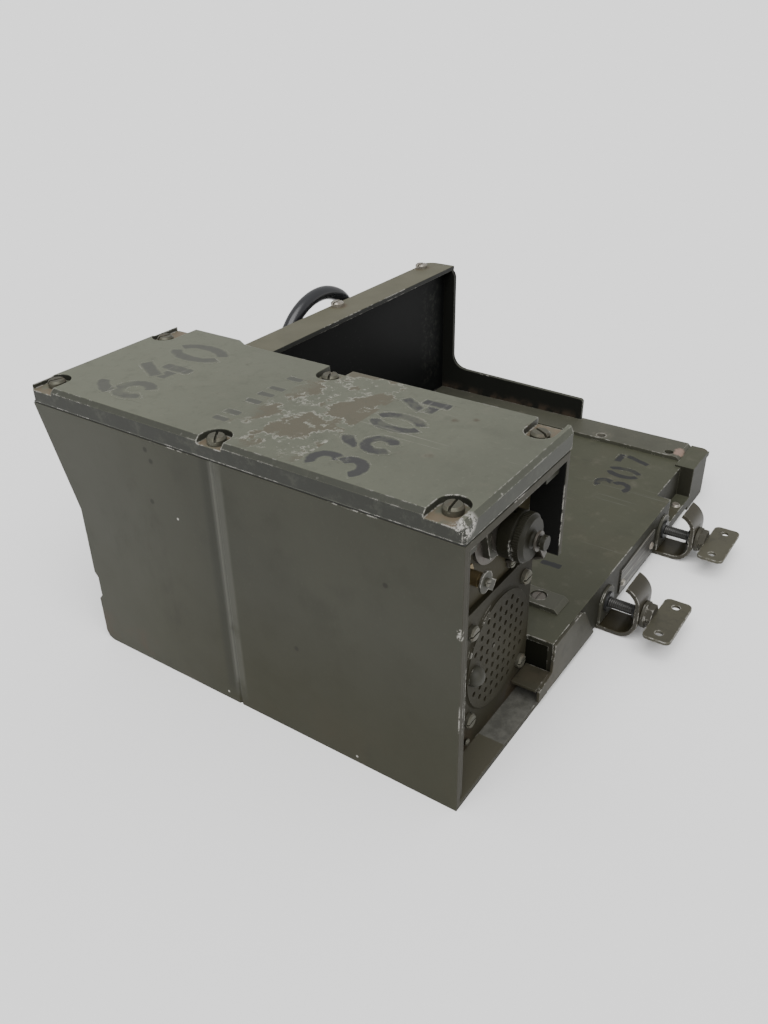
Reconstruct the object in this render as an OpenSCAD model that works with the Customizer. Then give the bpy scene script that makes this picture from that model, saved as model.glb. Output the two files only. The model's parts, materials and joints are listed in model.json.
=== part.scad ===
// Vehicle amplifier and radio tray: a tall amplifier case with a built-in
// loudspeaker, and beside it a low tray with a rear guard and two screw clamps.
// The sizes below are in a bench frame: x from the case's left wall, y from its
// front edge towards the back, z from the surface it stands on.

/* [Amplifier case] */
// Width of the case
case_w = 103; // [95:1:125]
// Depth of the case at its top
case_d = 275; // [255:1:330]
// Height of the case up to the lid's gasket
case_h = 155; // [140:1:190]
// Thickness of the case walls
wall_t = 3.3; // [2.5:0.1:4.5]
// How far the top of the rear wall overhangs its lower part
rear_overhang = 22.3; // [10:0.1:26]
// Height at which the rear overhang starts
overhang_z = 93; // [80:1:105]
// Height of the cheek's lower edge, right of the connector
cheek_z = 95.7; // [93:0.1:104]
// Distance from the case's front edge back to the connector panel
panel_setback = 18; // [16:0.5:24]

/* [Lid] */
// Thickness of the lid above its gasket
lid_t = 10.4; // [9:0.1:14]
// Thickness of the lid gasket
gasket_t = 1; // [0.8:0.1:2]
// How far the lid overhangs the right wall
lid_overhang = 4.3; // [2:0.1:8]
// Extra width of the lid's rear part
lid_step = 4.4; // [2:0.1:8]
// Radius of the notches round the lid screws
notch_r = 8; // [7:0.1:9]
// Depth of the notches under the lid's top
notch_depth = 3.7; // [3:0.1:5]
// Diameter of the lid screw heads
lid_head_d = 9.8; // [8:0.1:12]
// Distance of a corner lid screw from the side walls
screw_inset_x = 11; // [10:0.1:13]
// Distance of a corner lid screw from the front and rear edges
screw_inset_y = 12.3; // [11:0.1:14]

/* [Front panel] */
// Thickness of the connector panel and of the speaker plate
panel_t = 2.5; // [2:0.1:3]
// Height of the speaker plate's top edge
speaker_plate_z = 92; // [88:0.5:93]
// Diameter of the raised grille
grille_d = 68; // [60:1:70]
// Spacing of the grille holes
hole_pitch = 6.35; // [5.5:0.05:7]
// Diameter of the grille holes
hole_d = 3; // [1.5:0.1:3.6]
// Side of the square of speaker plate screws
plate_screw_sq = 57; // [56:0.5:60]
// Grille centre, from the case's left wall
grille_x = 65.5; // [64:0.5:67]
// Grille centre height
grille_z = 52; // [50:0.5:54]
// Diameter of the domed cap on the grille
dome_d = 11.5; // [9:0.5:14]
// Receptacle centre, from the case's left wall
socket_x = 58; // [56:0.5:64]
// Receptacle centre, below the case's top edge
socket_drop = 25.5; // [25:0.5:28]
// Diameter of the receptacle flange
socket_flange_d = 38; // [34:0.5:40]
// Diameter of the dust cap
cap_d = 25; // [20:0.5:31]
// Length of the dust cap
cap_len = 13; // [11:0.5:15]
// Teeth round the dust cap's knurled band
knurl_teeth = 60; // [40:2:72]
// Lever post centre, from the case's left wall
lever_x = 33; // [31:0.5:34]
// Lever post centre, below the case's top edge
lever_drop = 39; // [37:0.5:44]
// Length of the lever post in front of the panel
lever_post_len = 10.5; // [8:0.5:12]

/* [Tray] */
// Width of the tray beside the case
tray_w = 282; // [260:1:330]
// Depth of the tray
tray_d = 257; // [245:1:300]
// Height of the deck's upper face
deck_z = 33.5; // [32:0.5:40]
// Thickness of the tray's sheet
tray_t = 3.2; // [2.5:0.1:4]
// Height of the tray walls' lower edge
tray_lift = 3.6; // [3.5:0.1:5]
// Height of the bearing rails above the deck
rail_h = 2.8; // [2:0.1:4]
// Width of the right bearing rail
rail_w = 28; // [24:0.5:32]
// Width of the left bearing rail
left_rail_w = 16; // [12:0.5:20]
// Width of the pocket beside the front right corner
pocket_w = 50; // [40:1:54]
// Depth of that pocket, front to back
pocket_d = 10; // [8:0.5:12]
// Width of the front right corner block
corner_w = 38; // [34:0.5:42]

/* [Guard] */
// Height of the guard's top
guard_z = 144.3; // [125:0.1:150]
// Depth of the guard, front to back
guard_depth = 26; // [20:0.5:32]
// Thickness of the guard's sheet
guard_t = 3.2; // [1.5:0.1:4]
// Height of the side fence's top
fence_z = 53.4; // [48:0.1:60]
// Distance of the fence's front end behind the tray's front
fence_y = 105.5; // [80:0.5:140]

/* [Clamps] */
// Left clamp's centre, from the tray's left edge
clamp_x = 81; // [78:0.5:84]
// Spacing of the two clamps
clamp_pitch = 101.6; // [98:0.1:104]
// Height of the clamp screws
screw_z = 15.5; // [15:0.5:17]
// Diameter of the clamp screws
screw_d = 6.35; // [5:0.05:8]
// Clearance round a clamp screw in its hook
screw_clear = 0.1; // [0.05:0.01:0.2]
// Width of a hook's strap
strap_w = 21; // [18:0.5:24]
// Thickness of a hook's strap
strap_t = 2.6; // [2:0.1:3]
// Reach of a hook's upright in front of the tray
hook_reach = 25; // [22:0.5:28]
// Height of a hook's top
hook_top = 37.5; // [36.5:0.5:40]
// Width of a wing plate
wing_w = 44.5; // [36:0.5:50]
// Depth of a wing plate, front to back
wing_d = 17.2; // [15:0.1:20]
// Thickness of a wing plate
wing_t = 2; // [1.5:0.1:2.5]

/* [Cable] */
// Diameter of the cable
cable_d = 10.3; // [8:0.1:11.5]

/* [Hidden] */
$fn = 48;
eps = 0.01;

// Places and sizes worked out from the ones above
total_w = case_w + tray_w;
wing_front = hook_reach + 6.3 + wing_d;
mid_y = (case_d - wing_front) / 2;
lower_d = case_d - rear_overhang;
lid_z = case_h + gasket_t;
notch_z = lid_z + lid_t - notch_depth;
speaker_plate_y = panel_setback - panel_t;
panel_back_y = panel_setback + panel_t;
socket_z = case_h - socket_drop;
lever_z = case_h - lever_drop;
shaft_d = 4;
shaft_clear = 0.08;
inner_l = wall_t + 3.5;
inner_r = case_w - wall_t;
top_rail_t = 4;
boss_drop = 12;
rail_z = deck_z + rail_h;
guard_y = tray_d - guard_depth;
guard_panel_t = 2.5;
guard_panel_y = guard_y + 7.7;
guard_wall_y = guard_y - 2.4;
guard_corner_r = 10;
fence_rise = 3;
guard_panel_x = total_w - guard_t - guard_panel_t;
clamp_centres = [case_w + clamp_x, case_w + clamp_x + clamp_pitch];
thread_clear = 0.3;
pad_t = 1.5;
lid_shank_d = 5;
cap_back_y = panel_setback - 9;
cap_front_y = cap_back_y - cap_len;
neck_d = 5;
flange_t = 1.6;
socket_collar_d = cap_d - 1;
flange_d = max(socket_flange_d, cap_d + 8);
chassis_z = wall_t + 2;
board_z = 72;
board_t = 1.6;
left_screws = [
    [screw_inset_x, screw_inset_y],
    [6, case_d / 2 + 4],
    [screw_inset_x, case_d - screw_inset_y + 3]
];
right_screws = [for (p = left_screws) [case_w - min(p[0], screw_inset_x - 1), p[1]]];
lid_screw_points = concat(left_screws, right_screws);
plate_screw_points = [for (i = [-1, 1], j = [-1, 1])
    [grille_x + i * plate_screw_sq / 2, grille_z + j * plate_screw_sq / 2]];

dome_x = grille_d / 2 - 8;
lanyard_r = flange_d / 2 + 20;
lanyard_angle = 57;
lanyard_x = socket_x + lanyard_r * cos(lanyard_angle);
lanyard_z = socket_z - lanyard_r * sin(lanyard_angle);
tray_bolt_ys = [70, 150, 230];
tray_bolt_z = 20;
board_post_points = [for (x = [28, 86], y = [134, 222]) [x, y]];
corner_d = 14;
rear_block = 24;
rail_hole_d = 6.8;
rail_hole_x = total_w - rail_w + 5.5;
rail_hole_ys = [24.5, 79.5];
left_rail_x = case_w + 28;
left_rail_screw_ys = [26, 130, 222];
blank_z = 7;
blank_w = 60;
blank_x = clamp_centres[0] + 22.5;
blank_rivet_xs = [blank_x + 4, blank_x + blank_w - 4];
guard_screw_xs = [total_w - 135.5, total_w - 19];
grille_steps = 4;
grille_holes = [for (i = [-grille_steps : grille_steps], j = [-grille_steps : grille_steps])
    let (x = i * hole_pitch, z = j * hole_pitch)
    if (norm([x, z]) < grille_d / 2 - 4 && norm([x + dome_x, z]) > dome_d / 2 + 1.6) [x, z]];

// Cable route in the bench frame: out of the case gland, along the guard's
// back, up over it in an arch and down into the elbow
cable_points = [
    [52, 258, 60], [52, 262, 60], [55, 266, 60.5], [61, 268.5, 61], [70, 269, 62], [85, 269, 64],
    [100, 269, 66], [115, 269, 68], [130, 269, 71], [145, 269, 75], [158, 269, 80], [170, 269, 86],
    [180, 269, 94], [189, 269, 103], [197, 269, 112.5], [204.5, 269, 122.5], [212, 269, 132],
    [221, 269, 140.5], [232, 269, 146.5], [244, 269, 149.5], [256, 269, 149.5], [267, 269, 146.5],
    [277, 269, 141], [284, 269, 133], [288.5, 269, 123.5], [290, 269, 114], [290, 269, 108]
];
cable_sides = 10;
socket2_x = cable_points[len(cable_points) - 1][0];
socket2_z = cable_points[len(cable_points) - 1][2] - 22;

// Part frame: x across, y to the back, z up, origin under the middle of the box
module bench() {
    translate([-total_w / 2, -mid_y, 0]) children();
}

// A (y, z) outline extruded along x from x0
module along_x(x0, length) {
    translate([x0, 0, 0]) rotate([90, 0, 90]) linear_extrude(length) children();
}

// An (x, z) outline extruded towards the back from y0
module along_y(y0, length) {
    translate([0, y0 + length, 0]) rotate([90, 0, 0]) linear_extrude(length) children();
}

// A round bar along y, starting at y0
module rod_y(x, y0, z, d, length) {
    translate([x, y0, z]) rotate([-90, 0, 0]) cylinder(d = d, h = length);
}

// A quarter or smaller piece of a ring, between two angles
module ring_sector(r_out, thickness, a0, a1) {
    reach = r_out * 2;
    intersection() {
        difference() {
            circle(r = r_out);
            circle(r = r_out - thickness);
        }
        polygon([[0, 0], [reach * cos(a0), reach * sin(a0)],
            [reach * cos((a0 + a1) / 2), reach * sin((a0 + a1) / 2)],
            [reach * cos(a1), reach * sin(a1)]]);
    }
}

module rounded_square(w, h, r) {
    union() {
        translate([-w / 2 + r, -h / 2]) square([w - 2 * r, h]);
        translate([-w / 2, -h / 2 + r]) square([w, h - 2 * r]);
        for (i = [-1, 1], j = [-1, 1]) translate([i * (w / 2 - r), j * (h / 2 - r)]) circle(r = r);
    }
}

// Side outline of the case, shrunk by inset
module case_outline(inset, top) {
    notch = inset > 0 ? 0 : 2.5;
    polygon([
        [inset, inset], [lower_d - 5.7, inset], [lower_d - 1.7, inset + 1.7 * (1 - sign(inset))],
        [lower_d - inset, inset + 5.7], [lower_d - inset, 30], [lower_d - inset - notch, 33],
        [lower_d - inset - notch, 46], [lower_d - inset, 49.5], [lower_d - inset, overhang_z],
        [case_d - inset, case_h], [case_d - inset, top], [inset, top]
    ]);
}

// ---- Amplifier case ----

module case_walls() {
    difference() {
        along_x(0, case_w) case_outline(0, case_h);
        translate([0, panel_setback, 0])
            intersection() {
                translate([0, -panel_setback, 0])
                    along_x(wall_t, case_w - 2 * wall_t) case_outline(wall_t, case_h + 1);
                translate([0, 0, 0]) cube([case_w, case_d, case_h + 2]);
            }
        // front recess, open towards the front and under the top rail
        translate([wall_t, -1, wall_t])
            cube([case_w - 2 * wall_t, panel_setback + 2, case_h - wall_t - top_rail_t]);
        // below the cheek the right wall stops at the connector panel
        translate([case_w - wall_t - 1, -1, wall_t])
            cube([wall_t + 2, panel_setback + 1, cheek_z - wall_t]);
    }
}

module case_bosses() {
    intersection() {
        along_x(0, case_w) case_outline(0, case_h);
        union() for (p = lid_screw_points) {
            side = p[0] < case_w / 2;
            depth = p[1] < panel_setback ? panel_setback - 4 : 14;
            x0 = side ? 1 : p[0] - 7;
            x1 = side ? p[0] + 7 : case_w - 1;
            y0 = p[1] < panel_setback ? 4 : p[1] - 7;
            translate([x0, y0, case_h - boss_drop]) cube([x1 - x0, depth, boss_drop]);
        }
    }
}

module case_shell() {
    color("darkolivegreen") bench() difference() {
        union() {
            case_walls();
            case_bosses();
            // stiffening angle behind the left wall's front edge
            translate([wall_t - 0.5, 1, wall_t - 0.5]) cube([4, panel_setback - 1, case_h - wall_t]);
        }
        for (p = lid_screw_points)
            translate([p[0], p[1], case_h - boss_drop - 1])
                cylinder(d = lid_shank_d + 0.2, h = boss_drop + 2);
        // vertical crease in the left wall
        translate([0, case_d * 0.513, -1]) rotate([0, 0, 45]) translate([-0.8, -0.8, 0])
            cube([1.6, 1.6, case_h + 2]);
        rod_y(cable_points[0][0], lower_d - wall_t - 1, cable_points[0][2], 12.2, wall_t + 2);
        // holes for the three bolts that hold the tray
        for (y = tray_bolt_ys) translate([case_w - wall_t - 1, y, tray_bolt_z])
            rotate([0, 90, 0]) cylinder(d = 5.2, h = wall_t + 2);
    }
}

module lid_plan() {
    w0 = case_w + lid_overhang;
    w1 = w0 + lid_step;
    y1 = case_d * 0.775;
    polygon([[0, 1.5], [1.5, 0], [w0 - 3, 0], [w0, 3], [w0, y1], [w1, y1 + 8], [w1, case_d - 2],
        [w1 - 2, case_d], [2, case_d], [0, case_d - 2]]);
}

module notch_cut(p) {
    side = p[0] < case_w / 2;
    translate([p[0], p[1], notch_z]) {
        cylinder(r = notch_r, h = lid_t);
        translate([side ? -30 : 0, -notch_r, 0]) cube([30, 2 * notch_r, lid_t]);
    }
}

module case_lid() {
    chamfer = 1.6;
    color("olivedrab") bench() difference() {
        translate([0, 0, lid_z]) linear_extrude(lid_t) lid_plan();
        translate([9, 9, lid_z - 1]) cube([case_w - 18, case_d - 18, lid_t - 3.4]);
        for (p = lid_screw_points) {
            notch_cut(p);
            translate([p[0], p[1], lid_z - 1]) cylinder(d = lid_shank_d + 0.6, h = lid_t);
        }
        // rounded top edges, cut as chamfers
        for (y = [0, case_d]) translate([-1, y, lid_z + lid_t]) rotate([45, 0, 0])
            translate([0, -chamfer, -chamfer]) cube([case_w + 30, 2 * chamfer, 2 * chamfer]);
        translate([0, -1, lid_z + lid_t]) rotate([0, 45, 0])
            translate([-chamfer, 0, -chamfer]) cube([2 * chamfer, case_d + 2, 2 * chamfer]);
    }
}

module lid_gasket() {
    rim = 5.5;
    color("dimgray") bench() difference() {
        translate([0.4, 0.4, case_h]) cube([case_w - 0.8, case_d - 0.8, gasket_t]);
        translate([rim, panel_setback + 3, case_h - 1])
            cube([case_w - 2 * rim, case_d - panel_setback - 3 - rim, gasket_t + 2]);
        for (p = lid_screw_points)
            translate([p[0], p[1], case_h - 1]) cylinder(d = lid_shank_d + 0.6, h = gasket_t + 2);
    }
}

// A slotted cheese-head screw pointing down, its head's seat at z = 0
module slotted_screw(head_d, head_h, shank_d, shank_len) {
    difference() {
        union() {
            cylinder(d = head_d, h = head_h * 0.7);
            translate([0, 0, head_h * 0.7 - eps])
                cylinder(d1 = head_d, d2 = head_d * 0.8, h = head_h * 0.3 + eps);
            translate([0, 0, -shank_len]) cylinder(d = shank_d, h = shank_len + eps);
        }
        translate([-head_d, -head_d * 0.07, head_h * 0.5]) cube([2 * head_d, head_d * 0.14, head_h]);
    }
}

module lid_screws() {
    turns = [8, 35, -20, 60, 25, -15];
    color("slategray") bench() for (i = [0 : len(lid_screw_points) - 1])
        translate([lid_screw_points[i][0], lid_screw_points[i][1], notch_z])
            rotate([0, 0, turns[i]])
            slotted_screw(lid_head_d, 4, lid_shank_d, notch_z - case_h + boss_drop - 2);
}

// ---- Front panel and what it carries ----

module connector_panel() {
    color("darkolivegreen") bench() difference() {
        translate([inner_l, panel_setback, wall_t])
            cube([inner_r - inner_l, panel_t, case_h - wall_t - top_rail_t]);
        rod_y(grille_x, panel_setback - 1, grille_z, grille_d - 8, panel_t + 2);
        rod_y(socket_x, panel_setback - 1, socket_z, socket_collar_d + 0.4, panel_t + 2);
        rod_y(lever_x, panel_setback - 1, lever_z, 8.4, panel_t + 2);
        for (p = plate_screw_points) rod_y(p[0], panel_setback - 1, p[1], 4.2, panel_t + 2);
        rod_y(lanyard_x, panel_setback - 1, lanyard_z, 3.2, panel_t + 2);
    }
}

// Speaker plate with its raised, perforated disc
module speaker_plate() {
    raise = 1.4;
    color("darkolivegreen") bench() difference() {
        union() {
            translate([inner_l, speaker_plate_y, wall_t])
                cube([case_w - inner_l, panel_t, speaker_plate_z - wall_t]);
            rod_y(grille_x, speaker_plate_y - raise, grille_z, grille_d - 2, raise + 0.2);
            translate([grille_x, speaker_plate_y, grille_z]) rotate([90, 0, 0])
                cylinder(d1 = grille_d, d2 = grille_d - 2.2, h = raise * 0.7);
        }
        rod_y(grille_x, speaker_plate_y - 0.2, grille_z, grille_d - 8, panel_t + 0.4);
        for (h = grille_holes)
            rod_y(grille_x + h[0], speaker_plate_y - raise - 1, grille_z + h[1], hole_d, raise + 3);
        for (p = plate_screw_points) rod_y(p[0], speaker_plate_y - 1, p[1], 4.2, panel_t + 2);
        rod_y(grille_x - dome_x, speaker_plate_y - 3, grille_z, 3.4, 6);
    }
}

module plate_screws() {
    color("silver") bench() for (p = plate_screw_points)
        translate([p[0], speaker_plate_y, p[1]]) rotate([90, 0, 0]) slotted_screw(8.4, 3, 4, panel_t * 2 + 3);
}

module grille_dome() {
    seat_y = speaker_plate_y - 1.4;
    color("darkolivegreen") bench() translate([grille_x - dome_x, seat_y, grille_z]) {
        rotate([90, 0, 0]) difference() {
            sphere(d = dome_d);
            translate([-dome_d, -dome_d, -2 * dome_d]) cube([2 * dome_d, 2 * dome_d, 2 * dome_d]);
        }
        rotate([-90, 0, 0]) translate([0, 0, -eps]) cylinder(d = 3.2, h = 1.2);
    }
}

module speaker_frame() {
    d = grille_d - 4;
    color("gray") bench() translate([grille_x, panel_back_y, grille_z]) rotate([-90, 0, 0]) difference() {
        union() {
            cylinder(d = d, h = 2);
            cylinder(d1 = d - 6, d2 = 34, h = 22);
        }
        translate([0, 0, -eps]) cylinder(d1 = d - 10, d2 = 30, h = 20);
        translate([0, 0, -1]) cylinder(d = 26, h = 24);
        for (a = [0 : 60 : 300]) rotate([0, 0, a]) translate([17, -5, 6]) cube([20, 10, 10]);
    }
}

module speaker_magnet() {
    color("dimgray") bench() rod_y(grille_x, panel_back_y + 22, grille_z, 36, 15);
}

module speaker_cone() {
    d = grille_d - 15;
    at = [grille_x, panel_back_y + 0.6, grille_z];
    color("black") bench() translate(at) rotate([-90, 0, 0]) difference() {
        union() {
            cylinder(d1 = d, d2 = 14, h = 14);
            translate([0, 0, 13]) cylinder(d = 14, h = 8.4);
        }
        translate([0, 0, -eps]) cylinder(d1 = d - 1.6, d2 = 12.4, h = 13.2);
    }
}

module socket_flange() {
    color("dimgray") bench() difference() {
        rod_y(socket_x, panel_setback - flange_t, socket_z, flange_d, flange_t);
        rod_y(socket_x, panel_setback - 3, socket_z, socket_collar_d + 0.4, 5);
    }
}

module socket_shell() {
    d = cap_d - 4;
    color("gray") bench() difference() {
        union() {
            rod_y(socket_x, cap_back_y - 6, socket_z, d, panel_back_y + 10 - cap_back_y);
            rod_y(socket_x, panel_setback - flange_t, socket_z, socket_collar_d, flange_t + panel_t);
            rod_y(socket_x, panel_back_y, socket_z, cap_d + 5, 2.5);
        }
        rod_y(socket_x, cap_back_y - 7, socket_z, d - 4, 12);
    }
}

module socket_nut() {
    across_corners = cap_d + 6;
    color("darkkhaki") bench() translate([socket_x, panel_setback - flange_t, socket_z]) rotate([90, 13, 0])
        difference() {
            cylinder(d = across_corners, h = 4, $fn = 6);
            translate([0, 0, -1]) cylinder(d = cap_d - 3.8, h = 8);
        }
}

module socket_insert() {
    pins = 5;
    color("black") bench() translate([socket_x, cap_back_y + 2, socket_z]) rotate([-90, 0, 0]) {
        cylinder(d = cap_d - 8.2, h = 3);
        for (i = [0 : pins - 1]) rotate([0, 0, i * 360 / pins])
            translate([4.5, 0, -4]) cylinder(d = 1.6, h = 4 + eps);
    }
}

// Dust cap: plain skirt, knurled band, bevelled face and a stud with a groove
module dust_cap() {
    r = cap_d / 2;
    tooth = 360 / knurl_teeth;
    band = [for (i = [0 : knurl_teeth - 1], k = [0, 1])
        let (a = (i + k / 2) * tooth, q = r - 0.3 * k) [q * cos(a), q * sin(a)]];
    color("dimgray") bench() translate([socket_x, cap_back_y, socket_z]) rotate([90, 0, 0]) difference() {
        union() {
            cylinder(r = r - 0.1, h = cap_len * 0.5);
            cylinder(r = r - 0.9, h = cap_len * 0.62);
            translate([0, 0, cap_len * 0.6]) linear_extrude(cap_len * 0.25) polygon(band);
            translate([0, 0, cap_len * 0.84]) cylinder(r1 = r - 0.6, r2 = r - 2, h = cap_len * 0.16);
            translate([0, 0, cap_len - eps]) cylinder(r1 = 4.5, r2 = 3.4, h = 1.6);
            cylinder(d = neck_d, h = cap_len + 6);
            translate([0, 0, cap_len + 4.4]) cylinder(d = 7.6, h = 2.4);
        }
        translate([0, 0, -1]) cylinder(d = cap_d - 3.4, h = cap_len * 0.62 + 1);
        rotate([0, 0, 95]) translate([r - 4, 0, cap_len * 0.22]) rotate([0, 90, 0]) cylinder(d = 2, h = 8);
    }
}

// Lanyard strap: an eye round the stud's neck, a slanted run back past the
// nut and the flange, and a foot under its screw
module cap_lanyard() {
    t = 1;
    width = 3.6;
    eye_y = cap_front_y - 2.2;
    bend_r = cap_d / 2 + 2;
    foot_r = lanyard_r - 4;
    color("saddlebrown") bench() translate([socket_x, 0, socket_z]) rotate([0, lanyard_angle, 0])
        difference() {
            union() {
                rod_y(0, eye_y - t, 0, neck_d + 5.2, t);
                translate([0, 0, -width / 2]) linear_extrude(width) polygon([
                    [0, eye_y - t], [bend_r, eye_y - t], [foot_r, panel_setback - t],
                    [lanyard_r + 2.6, panel_setback - t], [lanyard_r + 2.6, panel_setback],
                    [foot_r - t, panel_setback], [bend_r - t, eye_y], [0, eye_y]]);
                rod_y(lanyard_r, panel_setback - t, 0, 5.6, t);
            }
            rod_y(0, eye_y - 3, 0, neck_d + 0.6, 6);
            rod_y(lanyard_r, panel_setback - 4, 0, 3.2, 6);
        }
}

module lanyard_screw() {
    color("silver") bench() translate([lanyard_x, panel_setback - 1, lanyard_z]) rotate([90, 0, 0])
        slotted_screw(4.8, 2, 3, panel_t + 2);
}

// Threaded bush with its nut; the lever's shaft turns in it
module lever_bush() {
    length = lever_post_len - 2;
    color("goldenrod") bench() difference() {
        union() {
            rod_y(lever_x, panel_setback - length, lever_z, 7.4, length + panel_t + 3);
            translate([lever_x, panel_setback, lever_z]) rotate([90, 10, 0]) cylinder(d = 12, h = 2, $fn = 6);
        }
        rod_y(lever_x, panel_setback - length - 1, lever_z, shaft_d + 2 * shaft_clear, length + panel_t + 5);
    }
}

module lever_shaft() {
    front_y = panel_setback - lever_post_len;
    color("goldenrod") bench() difference() {
        union() {
            rod_y(lever_x, front_y, lever_z, shaft_d, lever_post_len + panel_t + 3 + 8);
            rod_y(lever_x, front_y, lever_z, 7.4, 1.7);
        }
        rod_y(lever_x, front_y - 1, lever_z, 2.1, 6);
    }
}

// Lever: a thin ring plate with a square finger tab
module switch_lever() {
    at = [lever_x, panel_setback - lever_post_len - 1, lever_z];
    color("darkkhaki") bench() translate(at) rotate([-90, 0, 0])
        difference() {
            union() {
                cylinder(d = 11.4, h = 1);
                rotate([0, 0, 38]) translate([4, -2.8, 0]) cube([6.6, 5.6, 1]);
            }
            translate([0, 0, -1]) cylinder(d = 2.2, h = 3);
        }
}

module lever_screw() {
    at = [lever_x, panel_setback - lever_post_len - 1, lever_z];
    color("silver") bench() translate(at) rotate([90, 30, 0]) slotted_screw(4.4, 1.6, 2, 5.5);
}

module switch_body() {
    side = 18;
    color("black") bench() difference() {
        translate([lever_x - side / 2, panel_back_y + 3, lever_z - side / 2]) cube([side, 22, side]);
        rod_y(lever_x, panel_back_y, lever_z, shaft_d + 2 * shaft_clear, 12);
    }
}

// ---- Inside the case ----

module chassis_plate() {
    color("silver") bench() translate([inner_l + 1, panel_back_y + 40, wall_t])
        cube([inner_r - inner_l - 2, lower_d - panel_back_y - 60, 2]);
}

module transformer_core() {
    color("dimgray") bench() difference() {
        translate([24, 72, chassis_z]) cube([56, 42, 54]);
        translate([34, 71, chassis_z + 10]) cube([8, 44, 34]);
        translate([62, 71, chassis_z + 10]) cube([8, 44, 34]);
    }
}

module transformer_coil() {
    gap = 0.3;
    color("sienna") bench() difference() {
        translate([34 + gap, 64, chassis_z + 10 + gap]) cube([36 - 2 * gap, 58, 34 - 2 * gap]);
        translate([42 - gap, 72 - gap, chassis_z]) cube([20 + 2 * gap, 42 + 2 * gap, 60]);
    }
}

module filter_capacitors() {
    color("lightsteelblue") bench() for (i = [0 : 2])
        translate([28 + 24 * i, 176, chassis_z]) cylinder(d = 20, h = 46);
}

module circuit_board() {
    color("darkgreen") bench() difference() {
        translate([22, 128, board_z]) cube([70, 100, board_t]);
        for (p = board_post_points) translate([p[0], p[1], board_z - 1]) cylinder(d = 3.2, h = 4);
    }
}

module board_posts() {
    color("silver") bench() for (p = board_post_points) {
        translate([p[0], p[1], chassis_z]) cylinder(d = 6, h = board_z - chassis_z);
        translate([p[0], p[1], board_z - eps]) cylinder(d = 3, h = board_t + 1);
        translate([p[0], p[1], board_z + board_t]) cylinder(d = 6, h = 2);
    }
}

// Finned heat sink on the left wall
module heat_sink() {
    fins = 9;
    color("silver") bench() {
        difference() {
            translate([wall_t, 130, 84]) cube([16, 96, 46]);
            for (i = [0 : fins - 1]) translate([wall_t + 4, 134 + i * 10, 83]) cube([14, 7, 40]);
        }
    }
}

module power_transistors() {
    color("slategray") bench() for (y = [155, 200])
        translate([wall_t + 10, y, 130]) {
            cylinder(d = 15, h = 6);
            cylinder(d = 20, h = 1.6);
        }
}

// ---- Tray ----

module tray_pan() {
    x0 = case_w;
    x1 = total_w;
    wall_h = deck_z - tray_lift;
    pocket_x1 = x1 - corner_w;
    pocket_x0 = pocket_x1 - pocket_w;
    pocket_z = 11;
    color("darkolivegreen") bench() difference() {
        union() {
            translate([x0 + 2.5, 0, deck_z - tray_t]) cube([tray_w - 2.5, panel_setback, tray_t]);
            translate([x0, panel_setback - 2, deck_z - tray_t])
                cube([tray_w, tray_d - panel_setback + 2, tray_t]);
            // front, right, rear and left walls
            translate([x0 + 2.5, 0, tray_lift]) cube([tray_w - 2.5 - 5, tray_t, wall_h]);
            translate([x1 - tray_t, 5, tray_lift]) cube([tray_t, tray_d - 5, wall_h]);
            translate([x0, tray_d - tray_t, tray_lift]) cube([tray_w, tray_t, wall_h]);
            translate([x0, panel_setback, tray_lift]) cube([tray_t, tray_d - panel_setback, wall_h]);
            // pocket lining and the corner blocks that carry the tray
            translate([pocket_x0 - tray_t, 0, tray_lift]) cube([tray_t, pocket_d + tray_t, wall_h]);
            translate([pocket_x0, pocket_d, tray_lift]) cube([pocket_w, tray_t, wall_h]);
            translate([pocket_x0, 0, pocket_z - tray_t]) cube([pocket_w, pocket_d + 1, tray_t]);
            linear_extrude(deck_z + 1.6) corner_plan(pocket_x1, x1);
            translate([x1 - rear_block, tray_d - rear_block, 0]) cube([rear_block, rear_block, deck_z]);
            // ribs under the deck
            for (x = [x0 + tray_w * 0.33, x0 + tray_w * 0.66])
                translate([x, tray_t, deck_z - 14]) cube([tray_t, tray_d - 2 * tray_t, 12]);
            translate([x0, tray_d / 2, deck_z - 14]) cube([tray_w, tray_t, 12]);
        }
        // pocket, open to the top and the front
        translate([pocket_x0, -1, pocket_z]) cube([pocket_w, pocket_d + 1, deck_z]);
        for (x = clamp_centres) rod_y(x, -1, screw_z, 9.8, tray_t + 2);
        for (y = rail_hole_ys) translate([rail_hole_x, y, deck_z - 8]) cylinder(d = rail_hole_d, h = 20);
        for (y = left_rail_screw_ys) translate([left_rail_x + left_rail_w * 0.55, y, deck_z - 8])
            cylinder(d = 5.4, h = 20);
        for (y = tray_bolt_ys) translate([case_w - 1, y, tray_bolt_z]) rotate([0, 90, 0])
            cylinder(d = 5.2, h = tray_t + 2);
        for (x = blank_rivet_xs) rod_y(x, -1, blank_z + 7, 3.2, tray_t + 2);
        translate([pocket_x0 + 33, 4.5, pocket_z - 5]) cylinder(d = 4.2, h = 8);
    }
}

// Bolts that hold the tray to the case, with their nuts inside the case
module tray_bolts() {
    color("silver") bench() for (y = tray_bolt_ys) translate([case_w, y, tray_bolt_z]) rotate([0, 90, 0]) {
        translate([0, 0, -wall_t - 5.5]) cylinder(d = 5, h = wall_t + tray_t + 5.6);
        translate([0, 0, tray_t]) cylinder(d = 9.2, h = 3.5, $fn = 6);
        translate([0, 0, -wall_t - 4]) cylinder(d = 9.2, h = 4, $fn = 6);
    }
}

module corner_plan(x0, x1) {
    r = 6;
    union() {
        translate([x0, 0]) square([x1 - x0 - r, corner_d]);
        translate([x0, r]) square([x1 - x0, corner_d - r]);
        translate([x1 - r, r]) circle(r = r);
    }
}

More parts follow.
